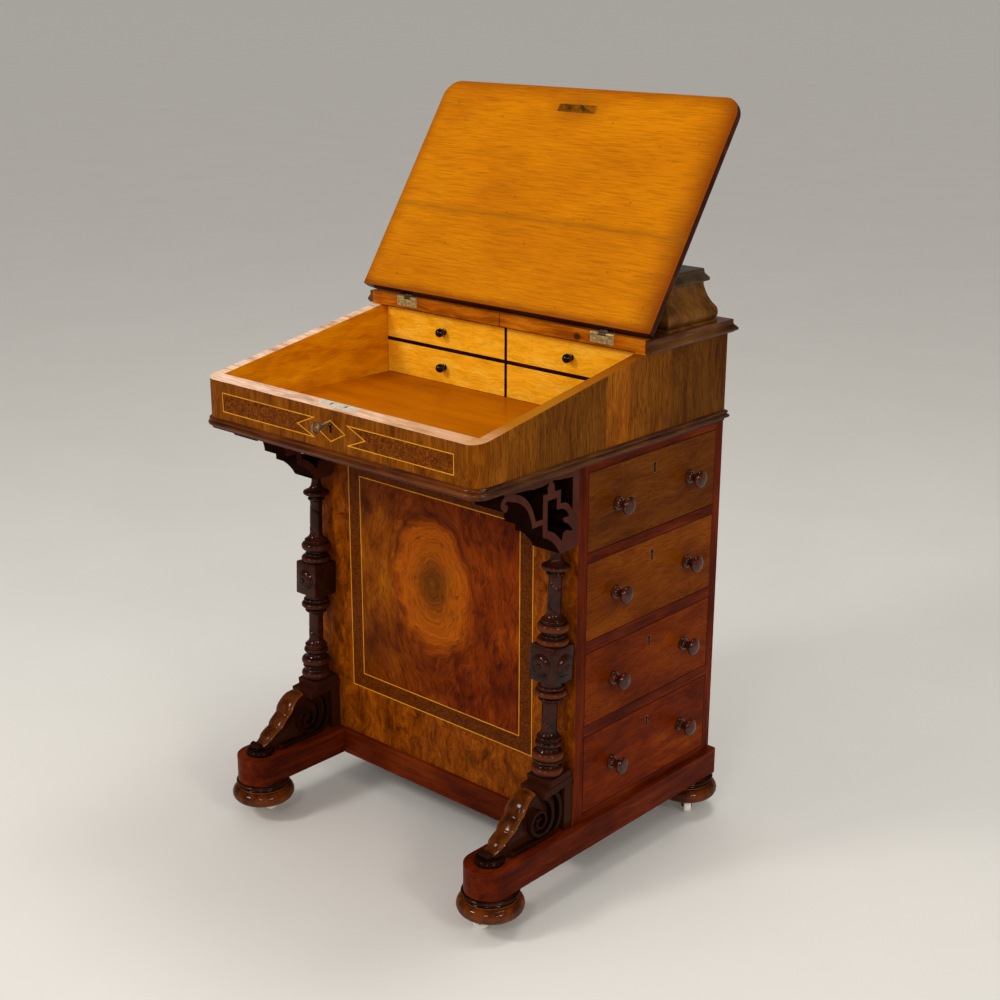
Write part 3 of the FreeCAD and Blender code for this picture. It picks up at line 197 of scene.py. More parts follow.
def wavering(tree, vector, size, reach):
    """The same coordinates pushed about, so that straight grain wavers as a tree's does."""
    drift = add(tree, "TexNoise", {"Vector": vector}, Scale=1 / size, Detail=2.0).outputs["Color"]
    return add(tree, "VectorMath", {0: drift, 2: vector}, {1: (reach * 4,) * 3},
               operation="MULTIPLY_ADD").outputs["Vector"]


def along(tree, vector, grain, length):
    """Coordinates squeezed along the grain, which makes every feature that much longer."""
    scale = [1.0, 1.0, 1.0]
    scale[AXES[grain]] = 1 / length
    return add(tree, "Mapping", {"Vector": vector}, Scale=scale).outputs["Vector"]


def polish(tree, shader, colour, fibre, rough, gloss, relief):
    """Shellac over open grain: nearly clear, with the fibres just felt through it."""
    tree.links.new(colour, shader.inputs["Base Color"])
    tree.links.new(fade(tree, fibre, 0.35, 0.65, rough + 0.08, rough), shader.inputs["Roughness"])
    bump = add(tree, "Bump", {"Height": fibre}, Strength=relief, Distance=0.00012)
    tree.links.new(bump.outputs["Normal"], shader.inputs["Normal"])
    shader.inputs["Specular IOR Level"].default_value = WOOD_SHINE
    shader.inputs["Coat Weight"].default_value = gloss
    shader.inputs["Coat Roughness"].default_value = FILM_ROUGH


def wood(name, dark, middle, light, grain="x", bands=9.0, patch=80.0, wave=4.0, rough=0.34, gloss=0.03,
         fibres=0.45, length=14.0, figure=0.5, spread=0.12, turn=0.0, start=(0, 0, 0), worn=None):
    """A polished wood; worn takes the tree, coordinates and colour, and returns a changed colour."""
    material, tree, shader = new_material(name)
    place = board_coordinates(tree, turn, start)
    bent = wavering(tree, place, patch, wave)
    growth = noise(tree, along(tree, bent, grain, length), bands, 4.0, 0.6)
    clouds = noise(tree, along(tree, bent, grain, 2.2), patch * 0.6, 2.0)
    tone = mixed(tree, clouds, growth, figure, kind="FLOAT")
    body = ramp(tree, tone, [(0.5 - spread, dark), (0.5, middle), (0.5 + spread, light)])
    fibre = noise(tree, along(tree, bent, grain, 24.0), FIBRE, 3.0, 0.65)
    shade = ramp(tree, fibre, [(0.32, "#7c7068"), (0.48, "#dcd6d0"), (0.62, "#ffffff")])
    colour = mixed(tree, body, shade, fibres, "MULTIPLY")
    if worn:
        colour = worn(tree, place, colour)
    polish(tree, shader, colour, fibre, rough, gloss, 0.2)
    return material


print("fibres, mm wide:", FIBRE)

# %% [markdown]
# Real boards carry marks: small knots, leaves of veneer that differ in tone, a rim that hands have
# bleached, a butted joint. Each mark is a function that takes a colour and returns it changed.

# %% Marks in the wood
def specked(tree, colour, across, up, code, spacing, size, share, strength):
    """Small round specks on a face: one in some of the cells of a grid with about this spacing."""
    flat = add(tree, "CombineXYZ", {"X": across, "Y": up}).outputs["Vector"]
    cells = add(tree, "TexVoronoi", {"Vector": flat}, voronoi_dimensions="2D", Scale=1 / spacing)
    dot = fade(tree, cells.outputs["Distance"], 0.4 * size / spacing, size / spacing, strength, 0.0)
    lot = add(tree, "SeparateColor", {0: cells.outputs["Color"]}).outputs[0]
    chosen = sums(tree, "LESS_THAN", lot, share)
    return mixed(tree, colour, linear(code), sums(tree, "MULTIPLY", dot, chosen))


def knots(tree, place, colour):
    """Swirled walnut has small dark knots scattered through it."""
    part = axes_of(tree, wavering(tree, place, 5, 2.6))
    for spacing, size, share in ((42, 4.5, 0.4), (17, 1.6, 0.3)):
        colour = specked(tree, colour, part["X"], part["Z"], "#301402", spacing, size, share, 0.45)
    return colour


LEAF_TONES = [(0.1, "#e4dccc"), (0.11, "#d2cac4"), (0.205, "#ccc6c8"), (0.22, "#b6b4cc"), (0.47, "#b8b4cc"),
              (0.48, "#f4e8d4"), (0.56, "#fff0dc"), (0.575, "#d6ced0"), (0.74, "#c2beca"),
              (0.755, "#a8a8c0"), (1.0, "#a09cb4")]


def leaves(tree, place, colour):
    """Veneer is laid in leaves, each with its own tone, from the front of the box to its back."""
    tone = ramp(tree, fade(tree, axes_of(tree, place)["Y"], -263.0, 269.0), LEAF_TONES)
    return mixed(tree, colour, tone, 1.0, "MULTIPLY")


def rim_reflection_falloff(tree, place, colour):
    """The rim's painted reflection gives way to brown towards the right, most of all along the right-hand
    side.
    """
    part = axes_of(tree, place)
    colour = mixed(tree, colour, linear("#b57c46"), fade(tree, part["X"], -60.0, 267.0, 0.0, 0.75))
    side = fade(tree, part["X"], 238.0, 246.0)
    for start, stop, code in ((-262.0, -195.0, "#9a5c0c"), (-120.0, 60.0, "#7c3c04")):
        both = sums(tree, "MULTIPLY", side, fade(tree, part["Y"], start, stop))
        colour = mixed(tree, colour, linear(code), both)
    return colour


KNOT_X, KNOT_Z, KNOT_WIDE, KNOT_TALL = 147, 776, 7, 6


def rail_marks(tree, place, colour):
    """The hinge rail is made of two lengths, butted in the middle, and has one dark knot."""
    off = sums(tree, "ABSOLUTE", axes_of(tree, place)["X"])
    colour = mixed(tree, colour, linear("#3a1604"), fade(tree, off, 0.5, 1.4, 0.85, 0.0))
    knot = add(tree, "Mapping", {"Vector": place}, Scale=(1 / KNOT_WIDE, 0, 1 / KNOT_TALL),
               Location=(-KNOT_X / KNOT_WIDE, 0, -KNOT_Z / KNOT_TALL)).outputs["Vector"]
    return mixed(tree, colour, linear("#2c1404"), fade(tree, length_of(tree, knot), 0.6, 1.2, 0.85, 0.0))


print("marks ready")

# %% [markdown]
# Stains, metals and stone have no grain, only patches of a duller tone.

# %% Stocks without grain
def plain(name, code, rough=0.4, metal=0.0, coat=0.0, coat_rough=0.1, mottle=0.0, dull="#000000",
          size=8.0, bump=0.0, rubbed=None, shine=0.04, worn=None):
    """A stock with patches of a duller tone.

    rubbed is the tone of its high edges, and worn a function that changes its colour, as for a wood.
    """
    material, tree, shader = new_material(name)
    place = board_coordinates(tree)
    patches = noise(tree, place, size, 4.0, 0.6)
    tone = ramp(tree, patches, [(0.38, dull), (0.62, code)])
    colour = mixed(tree, linear(code), tone, mottle)
    if rubbed:
        crest = add(tree, "NewGeometry").outputs["Pointiness"]
        edges = ramp(tree, crest, [(0.52, "#000000"), (0.6, "#ffffff")])
        colour = mixed(tree, colour, linear(rubbed), edges)
    if worn:
        colour = worn(tree, place, colour)
    tree.links.new(colour, shader.inputs["Base Color"])
    tree.links.new(fade(tree, patches, 0.35, 0.65, rough + 0.12 * mottle, rough), shader.inputs["Roughness"])
    if bump:
        relief = add(tree, "Bump", {"Height": patches}, Strength=bump, Distance=0.0002)
        tree.links.new(relief.outputs["Normal"], shader.inputs["Normal"])
    shader.inputs["Metallic"].default_value = metal
    shader.inputs["Specular IOR Level"].default_value = 0.5 if metal else shine
    shader.inputs["Coat Weight"].default_value = coat
    shader.inputs["Coat Roughness"].default_value = coat_rough
    return material


print("finishes so far:", len(bpy.data.materials))

# %% [markdown]
# Now the woods themselves, each with its dark, middle and light tone, the way its grain runs, the width
# of its bands and the size of its clouds.

# %% The woods
# Walnut veneer on the outside of the writing box: upright grain, brown with one golden leaf.
WALNUT_SIDE = wood("walnut_veneer_polished", "#7a4008", "#9a5a10", "#aa6a18", "z", 9, 60, 4, 0.36, 0.02,
                   fibres=0.8, length=10, figure=0.6, spread=0.17, worn=leaves)
WALNUT_RAIL = wood("walnut_veneer_golden", "#623004", "#7a3f04", "#8c4c08", "z", 9, 60, 5, 0.34, 0.03,
                   fibres=0.7, length=6, figure=0.6, spread=0.13)
WALNUT_PANEL = wood("walnut_veneer_swirled", "#4e2002", "#823c03", "#a05206", "z", 9, 46, 12,
                    0.32, 0.03, fibres=0.7, length=5, figure=0.55, spread=0.15, worn=knots)
# Mahogany, French polished: the red-brown frame, and drawer fronts with a little more figure.
MAHOGANY = wood("mahogany_french_polished", "#400f01", "#581802", "#682204", "z", 10, 100, 3, 0.32, 0.03)
MAHOGANY_LONG = wood("mahogany_french_polished_long_grain", "#3e1003", "#571a04", "#6a2607", "y", 10, 90,
                     3, 0.32, 0.03)
MAHOGANY_ACROSS = wood("mahogany_french_polished_cross_grain", "#401102", "#5a1c03", "#6e2a07", "x", 10,
                       90, 3, 0.32, 0.03)
DRAWER_COLOURS = (("#4a2003", "#622f04", "#723e08"), ("#562002", "#733502", "#884606"),
                  ("#4c1602", "#6a2602", "#823804"), ("#4a1401", "#702501", "#944604"))
DRAWER_FRONTS = [wood(f"mahogany_figured_drawer_front_{i + 1}", *codes, "y", 12, 110, 9, 0.33, 0.02,
                      fibres=0.6, length=5, figure=0.4, spread=0.2, start=(0, 90 * i, 0))
                 for i, codes in enumerate(DRAWER_COLOURS)]
MOULDING = wood("mahogany_dark_moulding", "#2e1408", "#4e2a10", "#683e1c", "y", 7, 80, 3, 0.24, 0.3)
MOULDING_ACROSS = wood("mahogany_dark_moulding_front", "#361404", "#562606", "#70380c", "x", 7, 80, 3,
                       0.24, 0.3)
# The same wood left its own colour inside, where light hasn't reached it: satin orange.
HINGE_RAIL = wood("mahogany_satin_hinge_rail", "#8a4002", "#b05a04", "#c8740c", "x", 7, 60, 3, 0.42, 0.03,
                  worn=rail_marks)
WELL = wood("mahogany_satin_orange", "#964b00", "#ac5900", "#ba6601", "x", 18, 120, 6, 0.3, 0.1,
            fibres=0.25, length=8, spread=0.2)
WELL_SIDE = wood("mahogany_satin_well_sides", "#b46202", "#d27e02", "#e09206", "y", 12, 60, 4, 0.42, 0.02,
                 fibres=0.3, length=5, spread=0.16)
SMALL_FRONT = wood("cedar_golden_drawer_front", "#e8960a", "#fbb01e", "#ffc440", "x", 9, 40, 4, 0.42, 0.01,
                   fibres=0.35, length=7, figure=0.5, spread=0.2)
# Painted shade: the case of the small drawers is nearly black, for the shade in the gaps between and behind
# them.
NEST_CASE_SHADE = wood("mahogany_nest_case_painted_shade", "#140602", "#220b03", "#2e1206", "x", 9, 60, 3, 0.5, 0.0)
# The rim is pale rosewood with a painted reflection of the light from above, fading to brown towards the
# right.
RIM_PAINTED_SHEEN = wood("rosewood_rim_painted_reflection", "#b88f72", "#deb698", "#efcbaf", "x", 5, 40, 1.5, 0.45, 0.02, fibres=0.5,
           worn=rim_reflection_falloff)
LINING = wood("cedar_drawer_lining", "#7c5026", "#a4713a", "#bd8c52", "x", 11, 90, 3, 0.6, 0.0)
print("woods made:", len(bpy.data.materials))

# %% [markdown]
# The turned and carved work is darker: stained almost black, then polished until it glints, and rubbed
# back to brown on every high ring. Brass that nobody has cleaned goes brown in patches. The castor
# wheels are white china.

# %% Stains, metals, leather and china
TURNED = plain("walnut_stained_turned_gloss", "#34140a", 0.3, 0, 0.32, 0.1, 0.85, "#160803", 22.0, shine=0.0)
FOOT_WOOD = plain("walnut_stained_bun_foot_gloss", "#622a06", 0.3, 0, 0.36, 0.1, 0.85, "#260f04", 24.0,
                  rubbed="#8a4a14", shine=0.0)
CARVED = plain("walnut_stained_carved_dark", "#140603", 0.34, 0, 0.12, 0.08, 0.8, "#080302", 18.0,
               rubbed="#3c1a0c", shine=0.0)
# The leaf is browner than the rest of the truss: partly wear, and partly painted light on a front that faces
# the lamp.
LEAF = plain("walnut_stained_carved_leaf_worn_painted_light", "#502206", 0.3, 0, 0.26, 0.12, 0.85, "#200d05", 16.0,
             rubbed="#6e380e", shine=0.0)
FRET = plain("walnut_stained_fret_satin", "#4a2419", 0.46, 0, 0.01, 0.2, 0.6, "#34160f", 30.0)
KNOB = plain("mahogany_knob_stained_gloss", "#4e1d0a", 0.3, 0, 0.7, 0.08, 0.85, "#1c0903", 9.0, shine=0.0)
EBONY = plain("pearwood_ebonised_polished", "#0c0603", 0.3, 0, 0.7, 0.08, 0.5, "#060302", 9.0, shine=0.0)
STRING = plain("boxwood_stringing", "#d8901e", 0.42, 0, 0.05, 0.12, 0.5, "#b0700c", 12.0)
BRASS = plain("brass_aged_cast", "#c8b478", 0.32, 0.5, 0, 0.1, 0.75, "#6e5c34", 6.0, 0.3)
BRONZED = plain("brass_link_plate_bronzed", "#6e5830", 0.34, 0.5, 0, 0.1, 0.8, "#2e2210", 5.0, 0.3)
# Painted reflection: the lock plate is coloured nearly white, as brass that mirrors a bright light.
LOCK_PLATE = plain("brass_lock_plate_painted_reflection", "#e2dac6", 0.36, 0.3, 0, 0.1, 0.5, "#a89c80", 5.0, 0.2)
BLACKENED = plain("brass_castor_blackened", "#3a2c1c", 0.4, 1.0, 0, 0.1, 0.8, "#16100b", 7.0, 0.3)
STEEL = plain("steel_key_worn", "#94826e", 0.3, 0.75, 0, 0.1, 0.7, "#3c3028", 5.0, 0.2)
CHINA = plain("china_glazed_white", "#efeadd", 0.16, 0, 0.6, 0.04, 0.3, "#d8cfba", 14.0)
# Painted shade: nearly black, for the dark inside a keyhole.
KEYHOLE_SHADE = plain("keyhole_painted_shade", "#0c0806", 0.7, 0, 0, 0.1, 0.3, "#1c120c", 3.0)
LEATHER = plain("leather_skiver_green_worn", "#2c4430", 0.5, 0, 0.05, 0.3, 0.7, "#1c2c20", 9.0, 0.6)
GILT = plain("gold_leaf_tooling_worn", "#b8924a", 0.4, 1.0, 0, 0.1, 0.7, "#7a6434", 6.0)


def burr(name, dark, middle, light, grain_mm):
    """Burr walnut: the wood of a knotty growth, all eyes and swirls with no direction."""
    material, tree, shader = new_material(name)
    bent = wavering(tree, board_coordinates(tree), grain_mm * 1.7, grain_mm * 0.4)
    swirl = noise(tree, bent, grain_mm, 5.0, 0.7, 1.4)
    body = ramp(tree, swirl, [(0.36, dark), (0.5, middle), (0.66, light)])
    eyes = add(tree, "TexVoronoi", {"Vector": bent}, Scale=1 / (grain_mm * 1.3))
    specks = ramp(tree, eyes.outputs["Distance"], [(0.06, "#3a2010"), (0.2, "#ffffff")])
    colour = mixed(tree, body, specks, 0.7, "MULTIPLY")
    polish(tree, shader, colour, swirl, 0.36, 0.03, 0.1)
    return material


BURR = burr("walnut_burr_rail_panel", "#381602", "#602a03", "#844808", 4.5)
BURR_BAND = burr("walnut_burr_crossbanding", "#351402", "#562403", "#713705", 4.0)
print("materials in all:", len(bpy.data.materials))

# %% [markdown]
# ## Tools of the bench
# A few helpers do most of the joinery. `finish` turns a bmesh into a piece, with its corners eased the
# way that sandpaper eases them, and sets it on its body. `eased` does the same to a frame piece that has
# the right shape already. `board` saws a board to size, `lathe` turns a profile, and `stick` moulds a
# section along a path, as a moulding plane does.

# %% Finishing a piece
EASE_ANGLE = math.radians(35)


def finish(name, bm, body, materials, node=None, ease=0.5, choose=None, welded=True, segments=2):
    """Makes the piece, paints its faces, eases its edges and rides it on a body."""
    if welded:
        bmesh.ops.remove_doubles(bm, verts=bm.verts, dist=1e-6)
    bmesh.ops.recalc_face_normals(bm, faces=bm.faces)
    mesh = bpy.data.meshes.new(name)
    bm.normal_update()
    for face in bm.faces:
        face.smooth = True
        if choose:
            face.material_index = choose(face)
    bm.to_mesh(mesh)
    bm.free()
    piece = bpy.data.objects.new(name, mesh)
    bpy.context.scene.collection.objects.link(piece)
    for material in materials:
        mesh.materials.append(material)
    mesh.set_sharp_from_angle(angle=EASE_ANGLE)
    if ease:
        bevel = piece.modifiers.new("eased_edges", "BEVEL")
        bevel.width = ease * MM
        bevel.segments = segments
        bevel.limit_method = "ANGLE"
        bevel.angle_limit = EASE_ANGLE
        bevel.harden_normals = True
    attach(piece, body)
    if node:
        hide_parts(*([node] if isinstance(node, str) else node))
    return piece


def eased(node, body, materials, ease=0.5, choose=None, suffix="_dressed", whole=True):
    """A frame piece that has the right shape already: welded, flat faces made whole, corners eased."""
    bm = bmesh.new()
    bm.from_mesh(frame["nodes"][node].data)
    bmesh.ops.remove_doubles(bm, verts=bm.verts, dist=2e-6)
    if whole:
        bmesh.ops.dissolve_limit(bm, angle_limit=math.radians(0.6), verts=bm.verts, edges=bm.edges)
    return finish(node + suffix, bm, body, materials, node, ease, choose, welded=False)


print("bench ready")

# %% Boards, turning and moulding
def board(bm, low, high):
    """One board between two corners, in drawing millimetres."""
    a, b = at(*low), at(*high)
    made = bmesh.ops.create_cube(bm, size=1.0)
    for vert in made["verts"]:
        vert.co = Vector([(p + q) / 2 + c * (q - p) for c, p, q in zip(vert.co, a, b)])
    return made["verts"]


def swell(start, end, out, steps=6):
    """Points of a round bead, or of a hollow if out is negative, from one profile point to the next."""
    a, b = Vector(start), Vector(end)
    side = Vector((b.y - a.y, a.x - b.x)).normalized()
    points = []
    for i in range(1, steps + 1):
        t = i / steps
        points.append(tuple(a.lerp(b, t) + side * (out * math.sin(math.pi * t))))
    return points


def bulge(radius, height, reach, tall, start=-90, stop=90, steps=16):
    """Points of a round, part of an ellipse about (radius, height), from one angle to another."""
    angles = [math.radians(start + (stop - start) * i / steps) for i in range(steps + 1)]
    return [(radius + reach * math.cos(a), height + tall * math.sin(a)) for a in angles]


def lathe(bm, profile, steps=48, where=None):
    """Spins a (radius, height) profile in millimetres round an upright axis, then places it."""
    before = set(bm.verts)
    verts = [bm.verts.new((r * MM, 0, h * MM)) for r, h in profile]
    edges = [bm.edges.new(pair) for pair in zip(verts, verts[1:])]
    bmesh.ops.spin(bm, geom=verts + edges, cent=(0, 0, 0), axis=(0, 0, 1), angle=math.tau, steps=steps,
                   use_merge=True)
    made = [v for v in bm.verts if v not in before]
    bmesh.ops.remove_doubles(bm, verts=made, dist=1e-7)
    made = [v for v in bm.verts if v not in before]
    if where is not None:
        bmesh.ops.transform(bm, matrix=where, verts=made)
    return made


def kept(geometry, kind):
    """Only the parts of one kind, out of what a bmesh operator returns."""
    return [part for part in geometry if isinstance(part, kind)]


def raised(bm, places, rise):
    """Draws one face through the places and extrudes it; returns the far face."""
    face = bm.faces.new([bm.verts.new(place) for place in places])
    return extruded(bm, face, rise)


def extruded(bm, face, rise):
    """Extrudes a face by a vector, and returns the far face."""
    made = bmesh.ops.extrude_face_region(bm, geom=[face])["geom"]
    bmesh.ops.translate(bm, verts=kept(made, bmesh.types.BMVert), vec=rise)
    return kept(made, bmesh.types.BMFace)[0]


def cut_off(bm, place, closed=True):
    """Saws away everything behind an upright plane, and closes the cut or leaves it open."""
    cut = bmesh.ops.bisect_plane(bm, geom=list(bm.verts) + list(bm.edges) + list(bm.faces), plane_co=place,
                                 plane_no=(0, 1, 0), clear_outer=True)
    if closed:
        bmesh.ops.holes_fill(bm, edges=kept(cut["geom_cut"], bmesh.types.BMEdge))


def prism(bm, points, low, high, axis="x"):
    """A drawn outline given thickness along x or y; points are the other two coordinates in order."""
    if axis == "x":
        raised(bm, [at(low, a, b) for a, b in points], ((high - low) * MM, 0, 0))
    else:
        raised(bm, [at(a, low, b) for a, b in points], (0, (high - low) * MM, 0))


def stick(bm, path, section, base_z, closed=False):
    """Moulds a section of (out, up) points along a plan path of (x, y), mitred at each corner."""
    count = len(path)
    rings = []
    for i, point in enumerate(path):
        here = Vector(point)
        into = Vector(path[(i - 1) % count]) if closed or i else None
        onto = Vector(path[(i + 1) % count]) if closed or i < count - 1 else None
        sides = [Vector((b.y - a.y, a.x - b.x)).normalized()
                 for a, b in ((into, here), (here, onto)) if a is not None and b is not None]
        mitre = sum(sides, Vector((0, 0))).normalized()
        mitre /= max(mitre.dot(sides[0]), 0.2)
        rings.append([at(here.x + mitre.x * o, here.y + mitre.y * o, base_z + u) for o, u in section])
    loft(bm, rings, closed)


def twins(verts, new):
    """The new vertex that an extrusion made from each old one."""
    return [next(e.other_vert(v) for e in v.link_edges if e.other_vert(v) in new) for v in verts]


def loft(bm, rings, closed=False):
    """Draws the first closed ring, extrudes it through all the others, and closes the ends."""
    verts = [bm.verts.new(p) for p in rings[0]]
    edges = [bm.edges.new((verts[i - 1], verts[i])) for i in range(len(verts))]
    first = edges
    for ring in rings[1:]:
        made = bmesh.ops.extrude_edge_only(bm, edges=edges)["geom"]
        verts = twins(verts, kept(made, bmesh.types.BMVert))
        for vert, place in zip(verts, ring):
            vert.co = place
        edges = [bm.edges.get((verts[i - 1], verts[i])) for i in range(len(verts))]
    if closed:
        bmesh.ops.bridge_loops(bm, edges=first + edges)
    else:
        bmesh.ops.contextual_create(bm, geom=first)
        bmesh.ops.contextual_create(bm, geom=edges)


def smooth_path(points, steps=6):
    """A rounded line through the given points, as a bent strip of wood would run."""
    points = [Vector(p) for p in points]
    padded = [points[0] * 2 - points[1]] + points + [points[-1] * 2 - points[-2]]
    line = []
    for a, b, c, d in zip(padded, padded[1:], padded[2:], padded[3:]):
        for i in range(steps):
            t = i / steps
            line.append(0.5 * (2 * b + (c - a) * t + (2 * a - 5 * b + 4 * c - d) * t * t
                               + (3 * b - a - 3 * c + d) * t ** 3))
    return line + [points[-1]]


print("bench tools ready")

# %% [markdown]
# ## The camera and the room
# The desk is seen from above its right front corner. A long lens keeps its uprights nearly parallel.
# The camera comes first, so that every later look is from the same place.

# %% Camera
camera_data = bpy.data.cameras.new("studio_camera")
camera_data.sensor_width = 36.0
camera_data.lens = 58.216
camera = bpy.data.objects.new("studio_camera", camera_data)
bpy.context.scene.collection.objects.link(camera)
bpy.context.scene.camera = camera
CAMERA_PLACE = (1.5576, -1.65505, 1.2637)
CAMERA_YAW, CAMERA_PITCH, CAMERA_ROLL = 42.0, -18.13, 0.16
camera.matrix_world = (Matrix.Translation(CAMERA_PLACE)
                       @ Matrix.Rotation(math.radians(CAMERA_YAW), 4, "Z")
                       @ Matrix.Rotation(math.radians(90 + CAMERA_PITCH), 4, "X")
                       @ Matrix.Rotation(math.radians(CAMERA_ROLL), 4, "Z"))
print("lens, mm:", camera_data.lens)

# %% [markdown]
# Four soft lamps: a large one high on the left that lights the slope and the front, a weaker one before
# the front, one on the right that keeps the drawer side readable, and one above. The floor and the
# backdrop are pale and plain.

# %% Lamps, floor and backdrop
def lamp(name, place, target, size, watts):
    """A soft box: a glowing rectangle that looks at its target."""
    data = bpy.data.lights.new(name, "AREA")
    data.shape = "RECTANGLE"
    data.size, data.size_y = size
    data.energy = watts
    light = bpy.data.objects.new(name, data)
    bpy.context.scene.collection.objects.link(light)
    light.location = place
    light.rotation_euler = (Vector(target) - Vector(place)).to_track_quat("-Z", "Y").to_euler()


lamp("key_softbox", (-1.2, -2.6, 2.6), (0, 0, 0.55), (0.7, 0.6), 42)
lamp("front_softbox", (1.3, -2.4, 2.0), (0, -0.1, 0.6), (0.5, 0.5), 12)
lamp("fill_softbox", (2.8, -0.7, 1.7), (0, 0, 0.5), (0.5, 0.5), 18)
lamp("top_softbox", (0.3, 0.6, 3.0), (0, 0, 0.7), (0.8, 0.8), 20)
# Two small bare lamps hardly light the desk, but draw bright points on the turned work.
lamp("glint_left", (-0.5, -3.0, 1.9), (0, -0.2, 0.4), (0.14, 0.14), 5)
lamp("glint_right", (3.0, -1.5, 1.7), (0, -0.2, 0.4), (0.14, 0.14), 5)

world = bpy.data.worlds.new("studio_world")
bpy.context.scene.world = world
world.use_nodes = True
sky = world.node_tree
seen = add(sky, "LightPath")
mirrored = sums(sky, "ADD", seen.outputs["Is Camera Ray"], seen.outputs["Is Glossy Ray"])
mirrored = sums(sky, "ADD", mirrored, seen.outputs["Is Transmission Ray"], use_clamp=True)
# What is seen or mirrored is a pale wall that darkens to a ceiling; the light itself stays even.
WALL, CEILING, EVEN_LIGHT = 0.36, 0.05, 0.6
heading = axes_of(sky, add(sky, "TexCoord").outputs["Generated"])
wall = fade(sky, heading["Z"], 0.08, 0.45, WALL, CEILING)
strength = add(sky, "MapRange", {"Value": mirrored, "To Max": wall}, {"To Min": EVEN_LIGHT})
sky.links.new(strength.outputs["Result"], sky.nodes["Background"].inputs["Strength"])
sky.nodes["Background"].inputs["Color"].default_value = (1, 1, 1, 1)

FLOOR_SIZE = 240.0
bm = bmesh.new()
bmesh.ops.create_grid(bm, x_segments=1, y_segments=1, size=FLOOR_SIZE)
floor_mesh = bpy.data.meshes.new("studio_floor")
bm.to_mesh(floor_mesh)
bm.free()
floor = bpy.data.objects.new("studio_floor", floor_mesh)
bpy.context.scene.collection.objects.link(floor)
floor_mesh.materials.append(plain("floor_painted_pale", "#d9d4cb", 0.6, mottle=0.2, dull="#cfc9bf", size=400))
bpy.context.scene.view_settings.view_transform = "Standard"
print("lamps:", len(bpy.data.lights))

# %% [markdown]
# ## Feet and plinths
# A bun foot is turned on the lathe: a flat bun, a hollow and a collar, the collar darker than the
# bun. It is recessed below, where the castor plate is screwed on.

# %% Bun feet
foot_low, foot_high = extent("bun_feet")
FOOT_H = foot_high.z - foot_low.z
RECESS_R, RECESS_H = 28.5, 4.5
SHOULDER = 23.0
CROSS_RAIL_IN = 60
foot_profile = ([(0, RECESS_H), (RECESS_R, RECESS_H), (RECESS_R, 0), (34.0, 0)]
                + bulge(37.2, 11.0, 10.8, 11.0)
                + [(38.6, 22.3), (38.6, 23.5), (36.6, 23.9)] + swell((36.6, 23.9), (36.8, 28.4), -1.5, 6)
                + bulge(39.2, 30.6, 2.2, 2.1, steps=8) + [(36.4, 33.0), (36.2, FOOT_H), (0, FOOT_H)])
JOINT = {joint["name"]: joint for joint in frame["joints"]}
CORNERS = ("front_right", "front_left", "back_right", "back_left")
bm = bmesh.new()
for corner in CORNERS:
    pivot = Vector(JOINT["swivel_" + corner]["pos_m"])
    lathe(bm, foot_profile, 72, Matrix.Translation((pivot.x, pivot.y, foot_low.z * MM)))
SHOULDER_Z = (foot_low.z + SHOULDER) * MM
finish("bun_feet_turned", bm, "carcass", [TURNED, FOOT_WOOD], "bun_feet", ease=0,
       choose=lambda f: 1 if f.calc_center_median().z < SHOULDER_Z else 0)
eased("plinths", "carcass", [MAHOGANY_LONG, MAHOGANY_ACROSS], 1.2,
      choose=lambda f: 1 if abs(f.calc_center_median().x) < (HALF - CROSS_RAIL_IN) * MM else 0)
eased("castor_sockets", "carcass", [BRASS], 0.2)
for corner in CORNERS:
    eased("castor_horn_" + corner, "castor_horn_" + corner, [BLACKENED], 0.3)
    eased("castor_wheel_" + corner, "castor_wheel_" + corner, [CHINA], 0.3)
print("feet at x", [round(JOINT["swivel_" + c]["pos_m"][0] * 1000, 1) for c in CORNERS])

# %% [markdown]
# ## The carcass
# The carcass is a chest with its drawers to the right. Its front board faces the knees, so it carries the
# best veneer. The faces of one board may wear different woods: the front is figured walnut, and the edge
# that shows at the side is mahogany like the drawer rails.

# %% Carcass boards
FACING = 0.7
RAIL_SHOWN = 40


def faces_front(face):
    """1 for a face that looks forwards, else 0."""
    return 1 if face.normal.y < -FACING else 0


eased("front_panel", "carcass", [MAHOGANY, WALNUT_PANEL], 0.5, choose=faces_front)
eased("back_panel", "carcass", [MAHOGANY], 0.5)
eased("carcass_boards", "carcass", [MAHOGANY_LONG], 0.4)
eased("drawer_rails", "carcass", [LINING, MAHOGANY_LONG], 0.4,
      choose=lambda f: 1 if f.calc_center_median().x > (HALF - RAIL_SHOWN) * MM else 0)
eased("left_side_panel", "carcass", [MAHOGANY_LONG], 0.4)
eased("dummy_drawer_fronts", "carcass", [DRAWER_FRONTS[0]], 0.6)
print("carcass dressed")

# %% [markdown]
# ## Inlay
# The front board is framed by two lines of pale boxwood, about a millimetre wide, with a band of burr
# walnut between them and a large oval figure in the middle. Each string is let in and scraped level; here
# it stands a tenth of a millimetre proud, so that it catches the light as a scraped line does. One face is
# inset again and again, and each new ring gets its own wood.

# %% Inlaid panels
PROUD = 0.12
STRING_W, RAIL_STRING_W = 1.5, 1.3


def inlay(name, points, y, rings, materials):
    """A thin panel let into an upright face at y: an outline, rings of (width, material) and a field."""
    bm = bmesh.new()
    top = raised(bm, [at(a, y, b) for a, b in points], (0, -PROUD * MM, 0))
    for width, index in rings:
        ring = bmesh.ops.inset_region(bm, faces=[top], thickness=width * MM, use_even_offset=True,
                                      use_boundary=True)
        for side in ring["faces"]:
            side.material_index = index
    top.material_index = len(materials) - 1
    marks = {f: f.material_index for f in bm.faces}
    return finish(name, bm, "carcass", materials, ease=0, choose=lambda f: marks[f])


